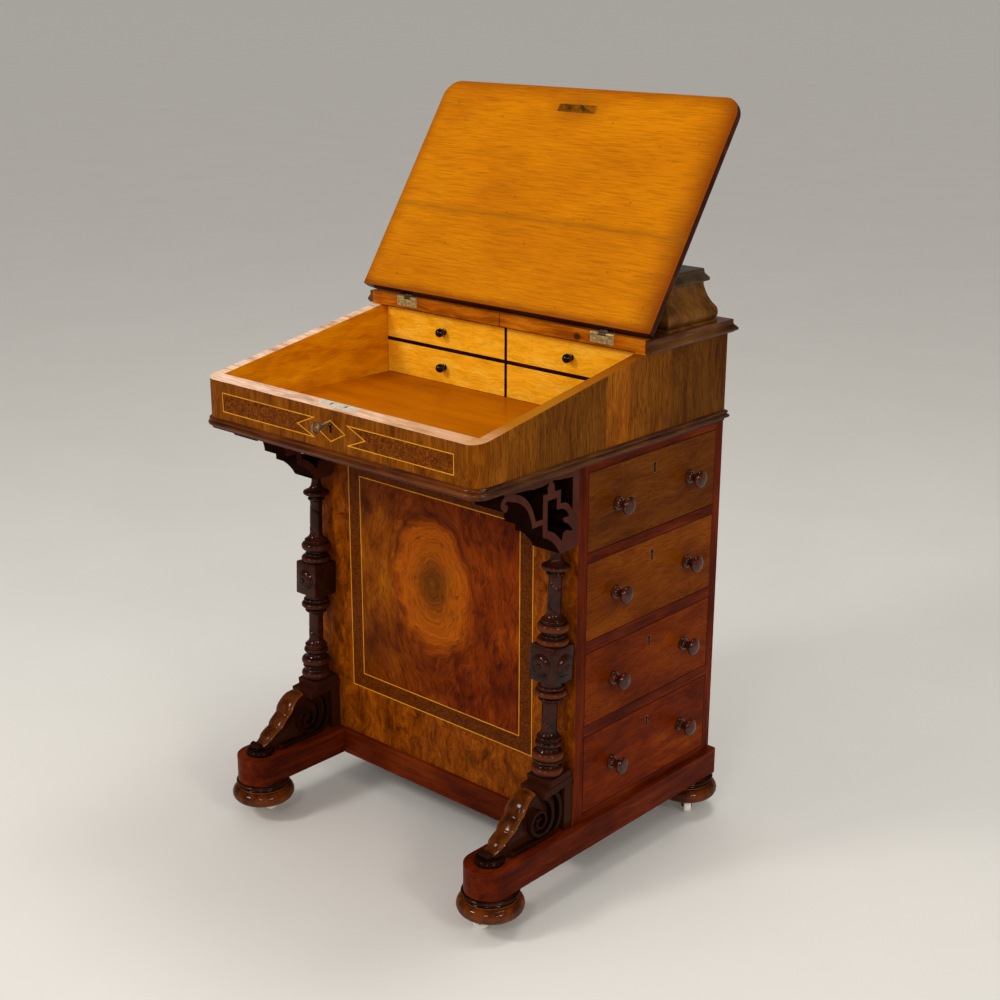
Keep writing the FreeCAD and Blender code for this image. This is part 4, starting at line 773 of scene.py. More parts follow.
print("strings, mm wide:", STRING_W, "and", RAIL_STRING_W)

# %% [markdown]
# The figure in the middle was cut through a knot. Away from it the fibres run upright; towards it they
# follow the distance from its centre instead, so they close round it in rings.

# %% The oval figure
EYE_X, EYE_Z, EYE_WIDE, EYE_TALL = -8.0, 399.0, 74.0, 100.0
EYE_DRIFT, SHOULDER_LINE = 21, 1.1


def oval_figure():
    """Walnut cut through a knot: the grain runs upright, parts round an oval, and closes again."""
    material, tree, shader = new_material("walnut_veneer_oval_burr")
    place = board_coordinates(tree)
    loose = wavering(tree, wavering(tree, place, 52, 8.0), 15, 2.6)
    # `wavering` moves everything by about twice its reach, so the eye is centred that much further on.
    centre = (-(EYE_X + EYE_DRIFT) / EYE_WIDE, 0, -(EYE_Z + EYE_DRIFT) / EYE_TALL)
    eye = add(tree, "Mapping", {"Vector": loose}, Scale=(1 / EYE_WIDE, 0, 1 / EYE_TALL),
              Location=centre).outputs["Vector"]
    away = length_of(tree, eye)
    part = axes_of(tree, loose)
    across = mixed(tree, sums(tree, "MULTIPLY", away, EYE_WIDE), part["X"], fade(tree, away, 0.95, 2.6),
                   kind="FLOAT")
    flow = add(tree, "CombineXYZ", {"X": across, "Z": part["Z"]}).outputs["Vector"]
    streak = noise(tree, along(tree, flow, "z", 5.0), 8.0, 5.0, 0.6, 0.5)
    fibre = noise(tree, along(tree, flow, "z", 9.0), FIBRE, 3.0, 0.65)
    clouds = noise(tree, along(tree, loose, "z", 1.4), 50.0, 4.0, 0.6)
    field = ramp(tree, clouds, [(0.3, "#5c2a02"), (0.44, "#864203"), (0.56, "#985004"), (0.7, "#ac6408")])
    # Painted light and shade: the field is lighter to the upper left, the side the lamp lights, and darker to
    # the right and towards the bottom.
    spot = axes_of(tree, place)
    painted_side_light = ramp(tree, fade(tree, spot["X"], -150.0, 150.0),
                    [(0.0, "#f8fcc0"), (0.35, "#ffecd8"), (0.7, "#f8d0b4"), (1.0, "#ecbc98")])
    field = mixed(tree, field, painted_side_light, 1.0, "MULTIPLY")
    painted_low_shade = ramp(tree, fade(tree, spot["Z"], 220.0, 530.0),
                   [(0.0, "#dccccc"), (0.18, "#d0c0c0"), (0.4, "#ffffff"), (0.85, "#ffffff"),
                    (1.0, "#e0d0c8")])
    field = mixed(tree, field, painted_low_shade, 1.0, "MULTIPLY")
    knot = ramp(tree, sums(tree, "MULTIPLY", away, 0.5),
                [(0.0, "#74420a"), (0.08, "#683404"), (0.16, "#7c3e04"), (0.25, "#a05004"), (0.42, "#ae5604"),
                 (0.55, "#a04a04")])
    colour = mixed(tree, field, knot, fade(tree, away, 0.88, 1.18, 1.0, 0.0))
    # One dark line of the flow stands out over the shoulders of the oval, and fades away below.
    off_line = sums(tree, "ABSOLUTE", sums(tree, "SUBTRACT", away, SHOULDER_LINE))
    shoulder = fade(tree, spot["Z"], EYE_Z - 20.0, EYE_Z + 60.0)
    line = sums(tree, "MULTIPLY", fade(tree, off_line, 0.0, 0.1, 0.75, 0.0), shoulder)
    colour = mixed(tree, colour, linear("#4e1e02"), line)
    shade = ramp(tree, streak, [(0.34, "#885c40"), (0.48, "#dcc8b8"), (0.62, "#ffffff")])
    colour = mixed(tree, colour, shade, fade(tree, away, 0.7, 1.2, 0.25, 0.65), "MULTIPLY")
    lines = ramp(tree, fibre, [(0.34, "#745844"), (0.48, "#d8ccc0"), (0.62, "#ffffff")])
    colour = mixed(tree, colour, lines, 0.65, "MULTIPLY")
    colour = knots(tree, place, colour)
    polish(tree, shader, colour, fibre, 0.34, 0.03, 0.2)
    return material


OVAL = oval_figure()
OUTER_X, INNER_X = 187.0, 162.8
OUTER_LOW, INNER_LOW, INNER_TOP = 186.8, 210.2, 538.0
OUTER_TOP = INNER_TOP + INNER_LOW - OUTER_LOW
BAND_W = OUTER_X - INNER_X - STRING_W
inlay("front_panel_inlay",
      [(-OUTER_X, OUTER_LOW), (OUTER_X, OUTER_LOW), (OUTER_X, OUTER_TOP), (-OUTER_X, OUTER_TOP)],
      CARCASS_FRONT, [(STRING_W, 0), (BAND_W, 1), (STRING_W, 0)], [STRING, BURR_BAND, OVAL])
print("inlaid field, mm:", 2 * INNER_X, "x", INNER_TOP - INNER_LOW)

# %% [markdown]
# ## Knobs and drawers
# Each knob is turned in one piece: a collar against the drawer, a thin neck, and a flattened ball that
# takes the light as one bright point.

# %% Knobs
def knob_profile(radius, length, collar, neck):
    """Collar, hollow neck, a thin ring, and the round of the head."""
    head = 0.56 * length
    neck_low, neck_high = (neck + 1.2, 0.17 * length), (neck + 1.0, 0.46 * length)
    return ([(0, 0), (collar, 0)] + swell((collar, 0), (collar, 0.12 * length), 0.5, 4)
            + [neck_low] + swell(neck_low, neck_high, -1.4, 6)
            + [(neck + 2.0, 0.49 * length), (neck + 2.0, 0.53 * length)]
            + [(radius * math.sin(a), head + (length - head) * 0.5 * (1 - math.cos(a)))
               for a in [math.radians(40 + 140 * i / 14) for i in range(15)]])


def facing(out):
    """Turns something that stands upright until it points outwards."""
    return Vector((0, 0, 1)).rotation_difference(Vector(out)).to_matrix().to_4x4()


def knobs(bm, places, out, profile, steps=40):
    """A turned knob at each place, pointing outwards."""
    turn = facing(out)
    for place in places:
        lathe(bm, profile, steps, Matrix.Translation(at(*place)) @ turn)


KNOB_R, KNOB_L, COLLAR_R, NECK_R = 13.0, 26.5, 9.8, 5.4
KNOB_PROFILE = knob_profile(KNOB_R, KNOB_L, COLLAR_R, NECK_R)
KNOB_SHARE = 0.215


def knob_places(low, high, x):
    """Where the two knobs of a drawer front sit."""
    width = high.y - low.y
    middle = (low.z + high.z) / 2
    return [(x, low.y + KNOB_SHARE * width, middle), (x, high.y - KNOB_SHARE * width, middle)]


print("knob points:", len(KNOB_PROFILE))

# %% [markdown]
# A drawer box is four boards and a bottom. Its sides meet the front in dovetails, so the end of each side
# shows a row of wedges in the colour of the front.

# %% Side drawers
SIDE_T, BOTTOM_T, BOTTOM_UP = 10.0, 7.0, 0.2
LOCK_T, LOCK_HALF_W, LOCK_H = 9.0, 22, 36
TAIL_L, TAIL_COUNT = 12.0, 4


def dovetails(bm, x, y_faces, z_low, z_high):
    """Wedges of the front's wood let into both drawer sides, standing a hair proud."""
    step = (z_high - z_low) / TAIL_COUNT
    wide, thin = 0.26 * step, 0.14 * step
    for y, outward in y_faces:
        for i in range(TAIL_COUNT + 1):
            middle = z_low + i * step
            corners = ((x - TAIL_L, -thin), (x, -wide), (x, wide), (x - TAIL_L, thin))
            points = [(px, max(z_low, min(z_high, middle + pz))) for px, pz in corners]
            prism(bm, points, y, y + outward * PROUD, "y")


for number in range(1, 5):
    body = f"drawer_{number}"
    low, high = extent(f"{body}_box")
    bm = bmesh.new()
    board(bm, (low.x, low.y, low.z), (high.x, low.y + SIDE_T, high.z))
    board(bm, (low.x, high.y - SIDE_T, low.z), (high.x, high.y, high.z))
    board(bm, (low.x, low.y + SIDE_T, low.z), (low.x + SIDE_T, high.y - SIDE_T, high.z))
    board(bm, (low.x + SIDE_T, low.y + SIDE_T, low.z + BOTTOM_UP),
          (high.x, high.y - SIDE_T, low.z + BOTTOM_T))
    plain_faces = set(bm.faces)
    dovetails(bm, high.x, [(low.y, -1), (high.y, 1)], low.z, high.z)
    front_wood = DRAWER_FRONTS[number - 1]
    finish(f"{body}_box_dovetailed", bm, body, [LINING, front_wood], f"{body}_box", ease=0.4,
           choose=lambda f: 0 if f in plain_faces else 1, welded=False)
    front_low, front_high = extent(f"{body}_front")
    eased(f"{body}_front", body, [front_wood], 0.6)
    middle_y = (front_low.y + front_high.y) / 2
    bm = bmesh.new()
    knobs(bm, knob_places(front_low, front_high, front_high.x), (1, 0, 0), KNOB_PROFILE)
    finish(f"{body}_knobs", bm, body, [KNOB], f"{body}_fittings", ease=0)
    bm = bmesh.new()
    board(bm, (front_low.x - LOCK_T, middle_y - LOCK_HALF_W, high.z - LOCK_H),
          (front_low.x, middle_y + LOCK_HALF_W, high.z))
    finish(f"{body}_lock", bm, body, [BRASS], f"{body}_fittings", ease=0.4)
print("drawers dressed:", number)

# %% [markdown]
# The keyhole of each drawer is lined with a thread of brass, a keyhole-shaped ring knocked in flush. It is
# drawn as a keyhole outline with its face inset, and the middle painted nearly black as the shade inside
# the hole. The left side has sham drawers: knobs, but no keyholes.

# %% Keyhole threads
KEYHOLE_H, KEYHOLE_R, KEYHOLE_SLOT, KEYHOLE_DROP = 15.0, 2.6, 1.3, 24.0
THREAD_W, THREAD_LIP = 1.0, 0.9


def keyhole_outline(y, z, grow):
    """A round eye over a narrow slot, grown outwards all round."""
    r = KEYHOLE_R + grow
    foot, slot = z - KEYHOLE_H / 2 - grow, KEYHOLE_SLOT + grow
    return (bulge(y, z + KEYHOLE_H / 2 - KEYHOLE_R, r, r, -50, 230, 12)
            + [(y - slot, foot), (y + slot, foot)])


for number in range(1, 5):
    low, high = extent(f"drawer_{number}_front")
    middle_y, z = (low.y + high.y) / 2, high.z - KEYHOLE_DROP
    bm = bmesh.new()
    outline = keyhole_outline(middle_y, z, THREAD_W)
    top = raised(bm, [at(high.x, a, b) for a, b in outline], (PROUD * MM, 0, 0))
    bmesh.ops.inset_region(bm, faces=[top], thickness=THREAD_LIP * MM, depth=-0.1 * MM)
    finish(f"drawer_{number}_keyhole_thread", bm, f"drawer_{number}", [BRONZED, KEYHOLE_SHADE],
           ease=0, choose=lambda f, top=top: 1 if f == top else 0)
bm = bmesh.new()
dummy_x = extent("dummy_drawer_fronts")[0].x
for number in range(1, 5):
    low, high = extent(f"drawer_{number}_front")
    knobs(bm, knob_places(low, high, dummy_x), (-1, 0, 0), KNOB_PROFILE)
finish("dummy_knobs_turned", bm, "carcass", [KNOB], "dummy_drawer_knobs", ease=0)
print("keyholes lined")

# %% [markdown]
# ## The writing box
# Its sides are one board with two faces: polished walnut outside, golden mahogany inside, and a pale
# strip along the sloping top, where a reflection of the light from above is painted into the wood's colour.
# The material of each face is chosen by the way the face looks.

# %% Box walls and well
BOX_HALF = extent("box_walls")[1].x
rail_low, rail_high = extent("box_front_rail")
BOX_FRONT = rail_low.y
WALL_T = 18.0
DESK_TOP_FRONT = extent("hinge_rail")[0].y
PLATFORM_Z, TOP_Z = (v.z for v in extent("platform_board"))
SLOPE = math.radians(9.9)
RIM_FRONT_Z = BOX_Z + 71.8


def rim_z(y):
    """Height of the sloping rim, y from the back."""
    return RIM_FRONT_Z + (y - BOX_FRONT) * math.tan(SLOPE)


def wall_wood(face):
    """0 walnut outside, 1 golden inside, 2 the sloping rim, pale with a painted reflection."""
    if face.normal.z > FACING and face.calc_center_median().z < (PLATFORM_Z - 1.0) * MM:
        return 2
    outside = abs(face.calc_center_median().x) > (BOX_HALF - 1.0) * MM or face.normal.y > FACING
    return 0 if outside else 1


bm = bmesh.new()
y0 = rail_high.y
side = [(y0, BOX_Z), (0, BOX_Z), (0, PLATFORM_Z), (DESK_TOP_FRONT, PLATFORM_Z),
        (DESK_TOP_FRONT, rim_z(DESK_TOP_FRONT)), (y0, rim_z(y0))]
for sign in (-1, 1):
    prism(bm, side, sign * (BOX_HALF - WALL_T), sign * BOX_HALF)
board(bm, (-BOX_HALF + WALL_T, -WALL_T, BOX_Z), (BOX_HALF - WALL_T, 0, PLATFORM_Z))
finish("box_walls_veneered", bm, "carcass", [WALNUT_SIDE, WELL_SIDE, RIM_PAINTED_SHEEN], "box_walls",
       ease=0.8, choose=wall_wood, welded=False)


def rail_wood(face):
    """The front rail: golden walnut outside, orange inside, and pale on top with a painted reflection."""
    if face.normal.z > FACING:
        return 2
    return 1 if face.normal.y > FACING else 0


eased("box_front_rail", "carcass", [WALNUT_RAIL, WELL_SIDE, RIM_PAINTED_SHEEN], 0.6, rail_wood)
eased("well_floor", "carcass", [WELL], 0.3)
print("rim from", round(rim_z(BOX_FRONT)), "to", round(rim_z(DESK_TOP_FRONT)))

# %% [markdown]
# The front rail carries two burr panels that end in swallowtails, and a diamond round the keyhole
# between them, all edged with boxwood. The swallowtail's notch is where the diamond's string meets it.

# %% Front rail inlay
PANEL_END, PANEL_TIP, NOTCH = 227.0, 30.1, 64.8
PANEL_LOW, PANEL_HIGH, NOTCH_Z = 664.9, 693.5, 678.6
DIAMOND_HALF, DIAMOND_LOW, DIAMOND_MID, DIAMOND_TOP = 29.4, 664.5, 679.7, 694.9
for name, sign in (("left", -1), ("right", 1)):
    outline = [(sign * PANEL_END, PANEL_LOW), (sign * PANEL_TIP, PANEL_LOW), (sign * NOTCH, NOTCH_Z),
               (sign * PANEL_TIP, PANEL_HIGH), (sign * PANEL_END, PANEL_HIGH)]
    inlay("front_rail_inlay_" + name, outline, BOX_FRONT, [(RAIL_STRING_W, 0)], [STRING, BURR])
diamond = [(0, DIAMOND_LOW), (DIAMOND_HALF, DIAMOND_MID), (0, DIAMOND_TOP), (-DIAMOND_HALF, DIAMOND_MID)]
inlay("front_rail_diamond", diamond, BOX_FRONT, [(RAIL_STRING_W, 0)], [STRING, WALNUT_RAIL])
KEY_Z = Vector(JOINT["key_turn"]["pos_m"]).z / MM
bm = bmesh.new()
outline = keyhole_outline(0, KEY_Z - KEYHOLE_H / 2 + KEYHOLE_R, 0.6)
verts = [bm.verts.new(at(a, BOX_FRONT - 2 * PROUD, b)) for a, b in outline]
bm.faces.new(verts)
bmesh.ops.solidify(bm, geom=list(bm.faces), thickness=PROUD * MM)
finish("front_keyhole_shadow", bm, "carcass", [KEYHOLE_SHADE], ease=0)
print("rail inlaid")

# %% [markdown]
# ## Mouldings
# A moulding is one profile run along a line and mitred at the corners. The lower one has two reeds, and
# bends round the front corners of the box on its way round it; the upper one is a round under a hollow.

# %% Lower moulding and platform moulding
MOULD_UP, CORNER_R = 3.6, 20.8
FRONT_RUN = 8
reeds = ([(-0.5, -MOULD_UP), (0.4, -MOULD_UP), (0.4, 0), (2.8, 0)] + bulge(2.8, 3.1, 2.9, 3.0, -80, 75, 9)
         + [(2.6, 6.5)] + bulge(1.6, 9.2, 2.3, 2.4, -65, 80, 8) + [(1.2, 12.4), (-0.5, 12.5)])
plan = [(-BOX_HALF, 0)]
for sign, start in ((-1, 180), (1, 270)):
    plan += bulge(sign * (BOX_HALF - CORNER_R), BOX_FRONT + CORNER_R, CORNER_R, CORNER_R, start, start + 90,
                  8)
plan.append((BOX_HALF, 0))
bm = bmesh.new()
stick(bm, plan, reeds, BOX_Z + MOULD_UP, closed=True)
finish("lower_moulding_reeded", bm, "carcass", [MOULDING, MOULDING_ACROSS], "lower_moulding",
       ease=0, choose=lambda f: 1 if f.calc_center_median().y < (BACK + (BOX_FRONT + FRONT_RUN) * MM) else 0)
PLAT_T = TOP_Z - PLATFORM_Z
ovolo = ([(-0.5, 0), (6.4, 0), (7.0, 1.4)] + bulge(7.6, 4.8, 3.3, 3.2, -70, 70, 9)
         + [(8.8, 8.6)] + swell((8.8, 8.6), (5.2, 15.8), -1.5, 8)
         + [(5.2, 16.4), (4.9, PLAT_T), (-0.5, PLAT_T)])
plan = [(BOX_HALF, DESK_TOP_FRONT), (BOX_HALF, 0), (-BOX_HALF, 0), (-BOX_HALF, DESK_TOP_FRONT)]
bm = bmesh.new()
stick(bm, plan, ovolo, PLATFORM_Z)
finish("platform_moulding_ovolo", bm, "carcass", [MOULDING], "platform_moulding", ease=0)
eased("platform_board", "carcass", [MOULDING_ACROSS], 0.3)
eased("hinge_rail", "carcass", [HINGE_RAIL], 0.4)
print("mouldings run")

# %% [markdown]
# ## Small drawers in the well
# Four little drawers fill the back of the well under the platform. Their fronts were never stained.

# %% Nest
NEST_T = {"front": 10.0, "side": 6.0, "floor": 4.0, "drop": 4.0}
SMALL_PROFILE = ([(0, 0), (5.0, 0)] + bulge(4.6, 1.0, 0.6, 1.0, -90, 90, 4) + [(3.8, 2.4), (3.7, 3.2)]
                 + bulge(0, 9.9, 6.9, 7.1, -58, 90, 14))
# The case wears the painted shade, nearly black.
eased("small_drawer_case", "carcass", [NEST_CASE_SHADE], 0.3)
for number in range(1, 5):
    low, high = extent(f"small_drawer_{number}")
    t, back = NEST_T["side"], low.y + NEST_T["front"]
    rim = high.z - NEST_T["drop"]
    bm = bmesh.new()
    board(bm, (low.x, low.y, low.z), (high.x, back, high.z))
    front_faces = set(bm.faces)
    for x in (low.x, high.x - t):
        board(bm, (x, back, low.z), (x + t, high.y, rim))
    board(bm, (low.x + t, high.y - t, low.z), (high.x - t, high.y, rim))
    board(bm, (low.x + t, back, low.z), (high.x - t, high.y - t, low.z + NEST_T["floor"]))
    finish(f"small_drawer_{number}_made", bm, f"small_drawer_{number}", [SMALL_FRONT, LINING],
           f"small_drawer_{number}", ease=0.5,
           choose=lambda f: 0 if f in front_faces else 1, welded=False)
    middle = ((low.x + high.x) / 2, low.y, (low.z + high.z) / 2)
    bm = bmesh.new()
    knobs(bm, [middle], (0, -1, 0), SMALL_PROFILE, 32)
    finish(f"small_drawer_{number}_knob_turned", bm, f"small_drawer_{number}", [EBONY],
           f"small_drawer_{number}_knob", ease=0)
print("small drawers made:", number)

# %% [markdown]
# ## The sloping lid
# The lid is one board with its outer edge moulded: a small step, then a round. It is drawn flat, with
# its hinge axis on the x axis, and then swung up to where it stands open. Insetting one face again and
# again follows the rounded outline exactly, which scaling would not.

# %% Lid
LID_T, LID_CORNER, NOSE_T = 18.0, 28.0, 7.5
AXIS_UP, END_GAP = 16.4, 6.1
lid_axis = Vector(JOINT["lid_hinge"]["pos_m"])
LID_TRAVEL = math.radians(133.4)
OPEN_TURN = SLOPE - LID_TRAVEL
swing_open = Matrix.Translation(lid_axis) @ Matrix.Rotation(OPEN_TURN, 4, "X")
lid_half = extent("lid_panel")[1].x
LID_L = 357.97


def lid_shape(half, y_far, y_near, low, radius, edge_steps, beyond=30.0):
    """A board with two round corners at its far end; steps are (inset, rise) up its moulded edge."""
    bm = bmesh.new()
    points = [(half, y_near + beyond), (-half, y_near + beyond)]
    for centre_x, start in ((-half + radius, 180), (half - radius, 270)):
        points += bulge(centre_x, y_far + radius, radius, radius, start, start + 90, 10)
    places = [(x * MM, y * MM, low * MM) for x, y in points]
    top = raised(bm, places, (0, 0, edge_steps[0][1] * MM))
    bm.normal_update()
    if top.normal.z < 0:
        top.normal_flip()
    for inset, rise in edge_steps[1:]:
        bmesh.ops.inset_region(bm, faces=[top], thickness=inset * MM, depth=rise * MM, use_even_offset=True)
    cut_off(bm, (0, y_near * MM, 0))
    return bm


THUMB_OUT, THUMB_UP, THUMB_STEPS, FILLET_IN, FILLET_UP = 9.0, 8.4, 6, 0.2, 1.6
thumb = [(0, NOSE_T)]
for i in range(THUMB_STEPS):
    a0, a1 = math.radians(90 * i / THUMB_STEPS), math.radians(90 * (i + 1) / THUMB_STEPS)
    thumb.append((THUMB_OUT * (math.cos(a0) - math.cos(a1)), THUMB_UP * (math.sin(a1) - math.sin(a0))))
thumb += [(FILLET_IN, FILLET_UP), (1.0, LID_T - NOSE_T - THUMB_UP - FILLET_UP)]
bm = lid_shape(lid_half, -END_GAP - LID_L, -END_GAP, -AXIS_UP, LID_CORNER, thumb)
bmesh.ops.transform(bm, matrix=swing_open, verts=bm.verts)
print("lid, mm:", round(2 * lid_half), "x", round(LID_L))

# %% [markdown]
# The inner face is what a writer sees first. It turns brown towards its edges, most on the right, and has a
# glued seam, a stain round the link plate, and a few small specks. The lid's wood is drawn
# flat as well, so its coordinates are turned back by the angle at which it stands open.

# %% The lid's woods
SEAM_Y = -0.4 * LID_L
STAIN_WIDE, STAIN_TALL, PLATE_IN = 62, 30, 34


def lid_marks(tree, place, colour):
    """Browner towards the lid's edges, most on the right; a stain round the link plate, a glued seam, and a
    few small specks.
    """
    part = axes_of(tree, wavering(tree, place, 40, 2.0))
    for axis, limit, reach, strength in (("X", lid_half, -52, 0.9), ("X", -lid_half, 26, 0.75),
                                         ("Y", -END_GAP - LID_L, 34, 0.8), ("Y", -END_GAP, -12, 0.8)):
        near = sums(tree, "POWER", fade(tree, part[axis], limit + reach, limit, 0.0, strength), 1.7)
        colour = mixed(tree, colour, linear("#6c2a02"), near)
    seam = sums(tree, "ABSOLUTE", sums(tree, "SUBTRACT", part["Y"], SEAM_Y))
    for reach, strength in ((11.0, 0.4), (1.5, 0.5)):
        colour = mixed(tree, colour, linear("#865006"), fade(tree, seam, 0.0, reach, strength, 0.0))
    for spacing, size, share in ((34, 1.5, 0.35), (80, 2.4, 0.45)):
        colour = specked(tree, colour, part["X"], part["Y"], "#8a3802", spacing, size, share, 0.6)
    plate = add(tree, "Mapping", {"Vector": place}, Scale=(1 / STAIN_WIDE, 1 / STAIN_TALL, 0),
                Location=(0, (END_GAP + LID_L - PLATE_IN) / STAIN_TALL, 0)).outputs["Vector"]
    return mixed(tree, colour, linear("#7c4204"), fade(tree, length_of(tree, plate), 1.0, 0.4, 0.0, 0.4))


turn_back = Matrix.Rotation(-OPEN_TURN, 3, "X")
LID_INSIDE = wood("mahogany_satin_golden", "#b26202", "#c27001", "#cc7c02", "x", 1.8, 130, 1.5, 0.42, 0.02,
                  fibres=0.45, length=70, figure=0.2, spread=0.25, turn=-math.degrees(OPEN_TURN),
                  start=turn_back @ -(lid_axis / MM), worn=lid_marks)
inner_normal = (swing_open.to_3x3() @ Vector((0, 0, -1))).normalized()
# The lid's edges and outer face are dark mahogany, made darker still as painted shade for the shadowed gap
# where the lid's end meets the platform.
LID_EDGE_AND_SHADE = wood("mahogany_lid_edge_dark_painted_shade", "#220c03", "#381405", "#4e2008", "x", 22, 80, 5, 0.32, 0.1)
finish("lid_panel_moulded", bm, "lid", [LID_EDGE_AND_SHADE, LID_INSIDE], "lid_panel", ease=0.9,
       choose=lambda f: 1 if f.normal.dot(inner_normal) > 0.9 else 0)
print("seam from the hinge, mm:", round(-SEAM_Y))

# %% [markdown]
# The writing leather is glued into the lid's outer face, with a double gilt line tooled inside its edge.
# It is hidden while the lid is up, and faces the writer when it is down.

# %% Skiver and brassware
MARGIN, SKIVER_T, SKIVER_PROUD = 58.0, 0.8, 0.05
skin_low = LID_T - AXIS_UP + SKIVER_PROUD - SKIVER_T
bm = bmesh.new()
x0, y_far, y_near = lid_half - MARGIN, -END_GAP - LID_L + MARGIN, -END_GAP - 0.7 * MARGIN
corners = ((-x0, y_far), (x0, y_far), (x0, y_near), (-x0, y_near))
top = raised(bm, [(x * MM, y * MM, skin_low * MM) for x, y in corners], (0, 0, SKIVER_T * MM))
gilt = []
for width, golden in ((9.0, 0), (1.6, 1), (5.0, 0), (0.9, 1)):
    ring = bmesh.ops.inset_region(bm, faces=[top], thickness=width * MM, use_even_offset=True)
    gilt += ring["faces"] if golden else []
bmesh.ops.transform(bm, matrix=swing_open, verts=bm.verts)
finish("lid_skiver_tooled", bm, "lid", [LEATHER, GILT], "lid_skiver", ease=0,
       choose=lambda f: 1 if f in gilt else 0)
eased("lid_brassware", "lid", [BRONZED], 0.2)
eased("hinge_plates", "carcass", [BRASS], 0.2)
# The lock plate carries the painted reflection, nearly white.
eased("lock_case", "carcass", [LOCK_PLATE], 0, whole=False)
eased("lock_bolt", "lock_bolt", [BLACKENED], 0.2)
eased("key", "key", [STEEL], 0.5)

SCREW_R, SLOT_TURN = 2.4, 0.7
SLOT_SIZE = (SCREW_R * 1.7 * MM, 0.55 * MM, 0.92 * MM, 1)
SCREW_HEAD = [(0, -0.2), (SCREW_R, -0.2), (SCREW_R, 0.12), (SCREW_R - 0.4, 0.3), (0, 0.42)]


def screws(bm, places, out):
    """Countersunk screw heads, slightly domed, each with a slot cut at its own angle."""
    turn = facing(out)
    for i, place in enumerate(places):
        head = Matrix.Translation(place) @ turn
        lathe(bm, SCREW_HEAD, 20, head)
        slot = bmesh.ops.create_cube(bm, size=1.0)["verts"]
        bmesh.ops.transform(bm, verts=slot,
                            matrix=head @ Matrix.Rotation(SLOT_TURN * i, 4, "Z") @ Matrix.Diagonal(SLOT_SIZE))


HINGE_X, SCREW_APART, SCREW_DOWN = 191.0, 14, 8.2
screw_z = lid_axis.z / MM - SCREW_DOWN
screw_xs = [sign * HINGE_X + off for sign in (-1, 1) for off in (-SCREW_APART, 0, SCREW_APART)]
bm = bmesh.new()
screws(bm, [at(x, DESK_TOP_FRONT, screw_z) for x in screw_xs], (0, -1, 0))
finish("hinge_screws", bm, "carcass", [BRASS], ease=0, welded=False)
print("brass fitted")

# %% [markdown]
# ## The stationery box
# At the back of the platform stands a shallow box for envelopes, with swelling ogee sides and a lid of
# its own. The same moulding helper runs its ogee round three sides, mitred at the front corners.

# %% Stationery box
case_high = extent("stationery_case")[1]
NECK_IN, STAT_DEPTH, STAT_WALL, STAT_FLOOR = 30.0, 92.0, 9.0, 6.0
DIVIDER_HALF, DIVIDER_DROP = 2.5, 8
NECK_HALF, STAT_BACK = BOX_HALF - NECK_IN, case_high.y
STAT_FRONT = STAT_BACK - STAT_DEPTH
CASE_H = case_high.z - TOP_Z
ogee = ([(25.8, 0), (25.8, 3), (21.3, 3.2)] + swell((21.3, 3.2), (24.6, 20.5), 3.6, 8)
        + swell((24.6, 20.5), (0, 50), -3.6, 10) + [(0, CASE_H), (-STAT_WALL, CASE_H), (-STAT_WALL, 0)])
plan = [(-NECK_HALF, STAT_BACK), (-NECK_HALF, STAT_FRONT), (NECK_HALF, STAT_FRONT), (NECK_HALF, STAT_BACK)]
bm = bmesh.new()
stick(bm, plan, ogee, TOP_Z)
inner = NECK_HALF - STAT_WALL
inner_front, inner_back = STAT_FRONT + STAT_WALL, STAT_BACK - STAT_WALL
board(bm, (-inner, inner_back, TOP_Z), (inner, STAT_BACK, TOP_Z + CASE_H))
board(bm, (-inner, inner_front, TOP_Z), (inner, inner_back, TOP_Z + STAT_FLOOR))
for x in (-inner / 3, inner / 3):
    board(bm, (x - DIVIDER_HALF, inner_front, TOP_Z + STAT_FLOOR),
          (x + DIVIDER_HALF, inner_back, TOP_Z + CASE_H - DIVIDER_DROP))
STAT_WOOD = wood("walnut_stationery_box", "#4a2a0e", "#613a16", "#764a1e", "x", 14, 80, 6, 0.3, 0.12)
STAT_TOP = wood("walnut_stationery_lid_dark", "#2c2212", "#3e3020", "#4c3c28", "x", 12, 80, 5, 0.3, 0.2)


def stat_wood(face):
    """0 walnut outside, 1 plain lining inside; faces of the walls themselves count as inside."""
    middle = face.calc_center_median()
    between = BACK + (inner_front - 0.5) * MM < middle.y < BACK + (inner_back + 0.5) * MM
    return 1 if between and abs(middle.x) < (inner + 0.5) * MM else 0


finish("stationery_case_ogee", bm, "carcass", [STAT_WOOD, LINING], "stationery_case",
       ease=0.4, choose=stat_wood, welded=False)


def stationery_lid(low, high, steps, tuck=3, beyond=30):
    """Grown out and in, step by step, from a plate tucked under it that runs beyond the back."""
    bm = bmesh.new()
    x, y, y_far = high.x - tuck, low.y + tuck, STAT_BACK + beyond
    places = [at(a, b, low.z) for a, b in ((-x, y), (x, y), (x, y_far), (-x, y_far))]
    top = raised(bm, places, (0, 0, 0))
    bm.normal_update()
    for inset, rise in steps:
        bmesh.ops.inset_region(bm, faces=[top], thickness=inset * MM, depth=rise * MM, use_even_offset=True)
    cut_off(bm, at(0, STAT_BACK, 0))
    return bm


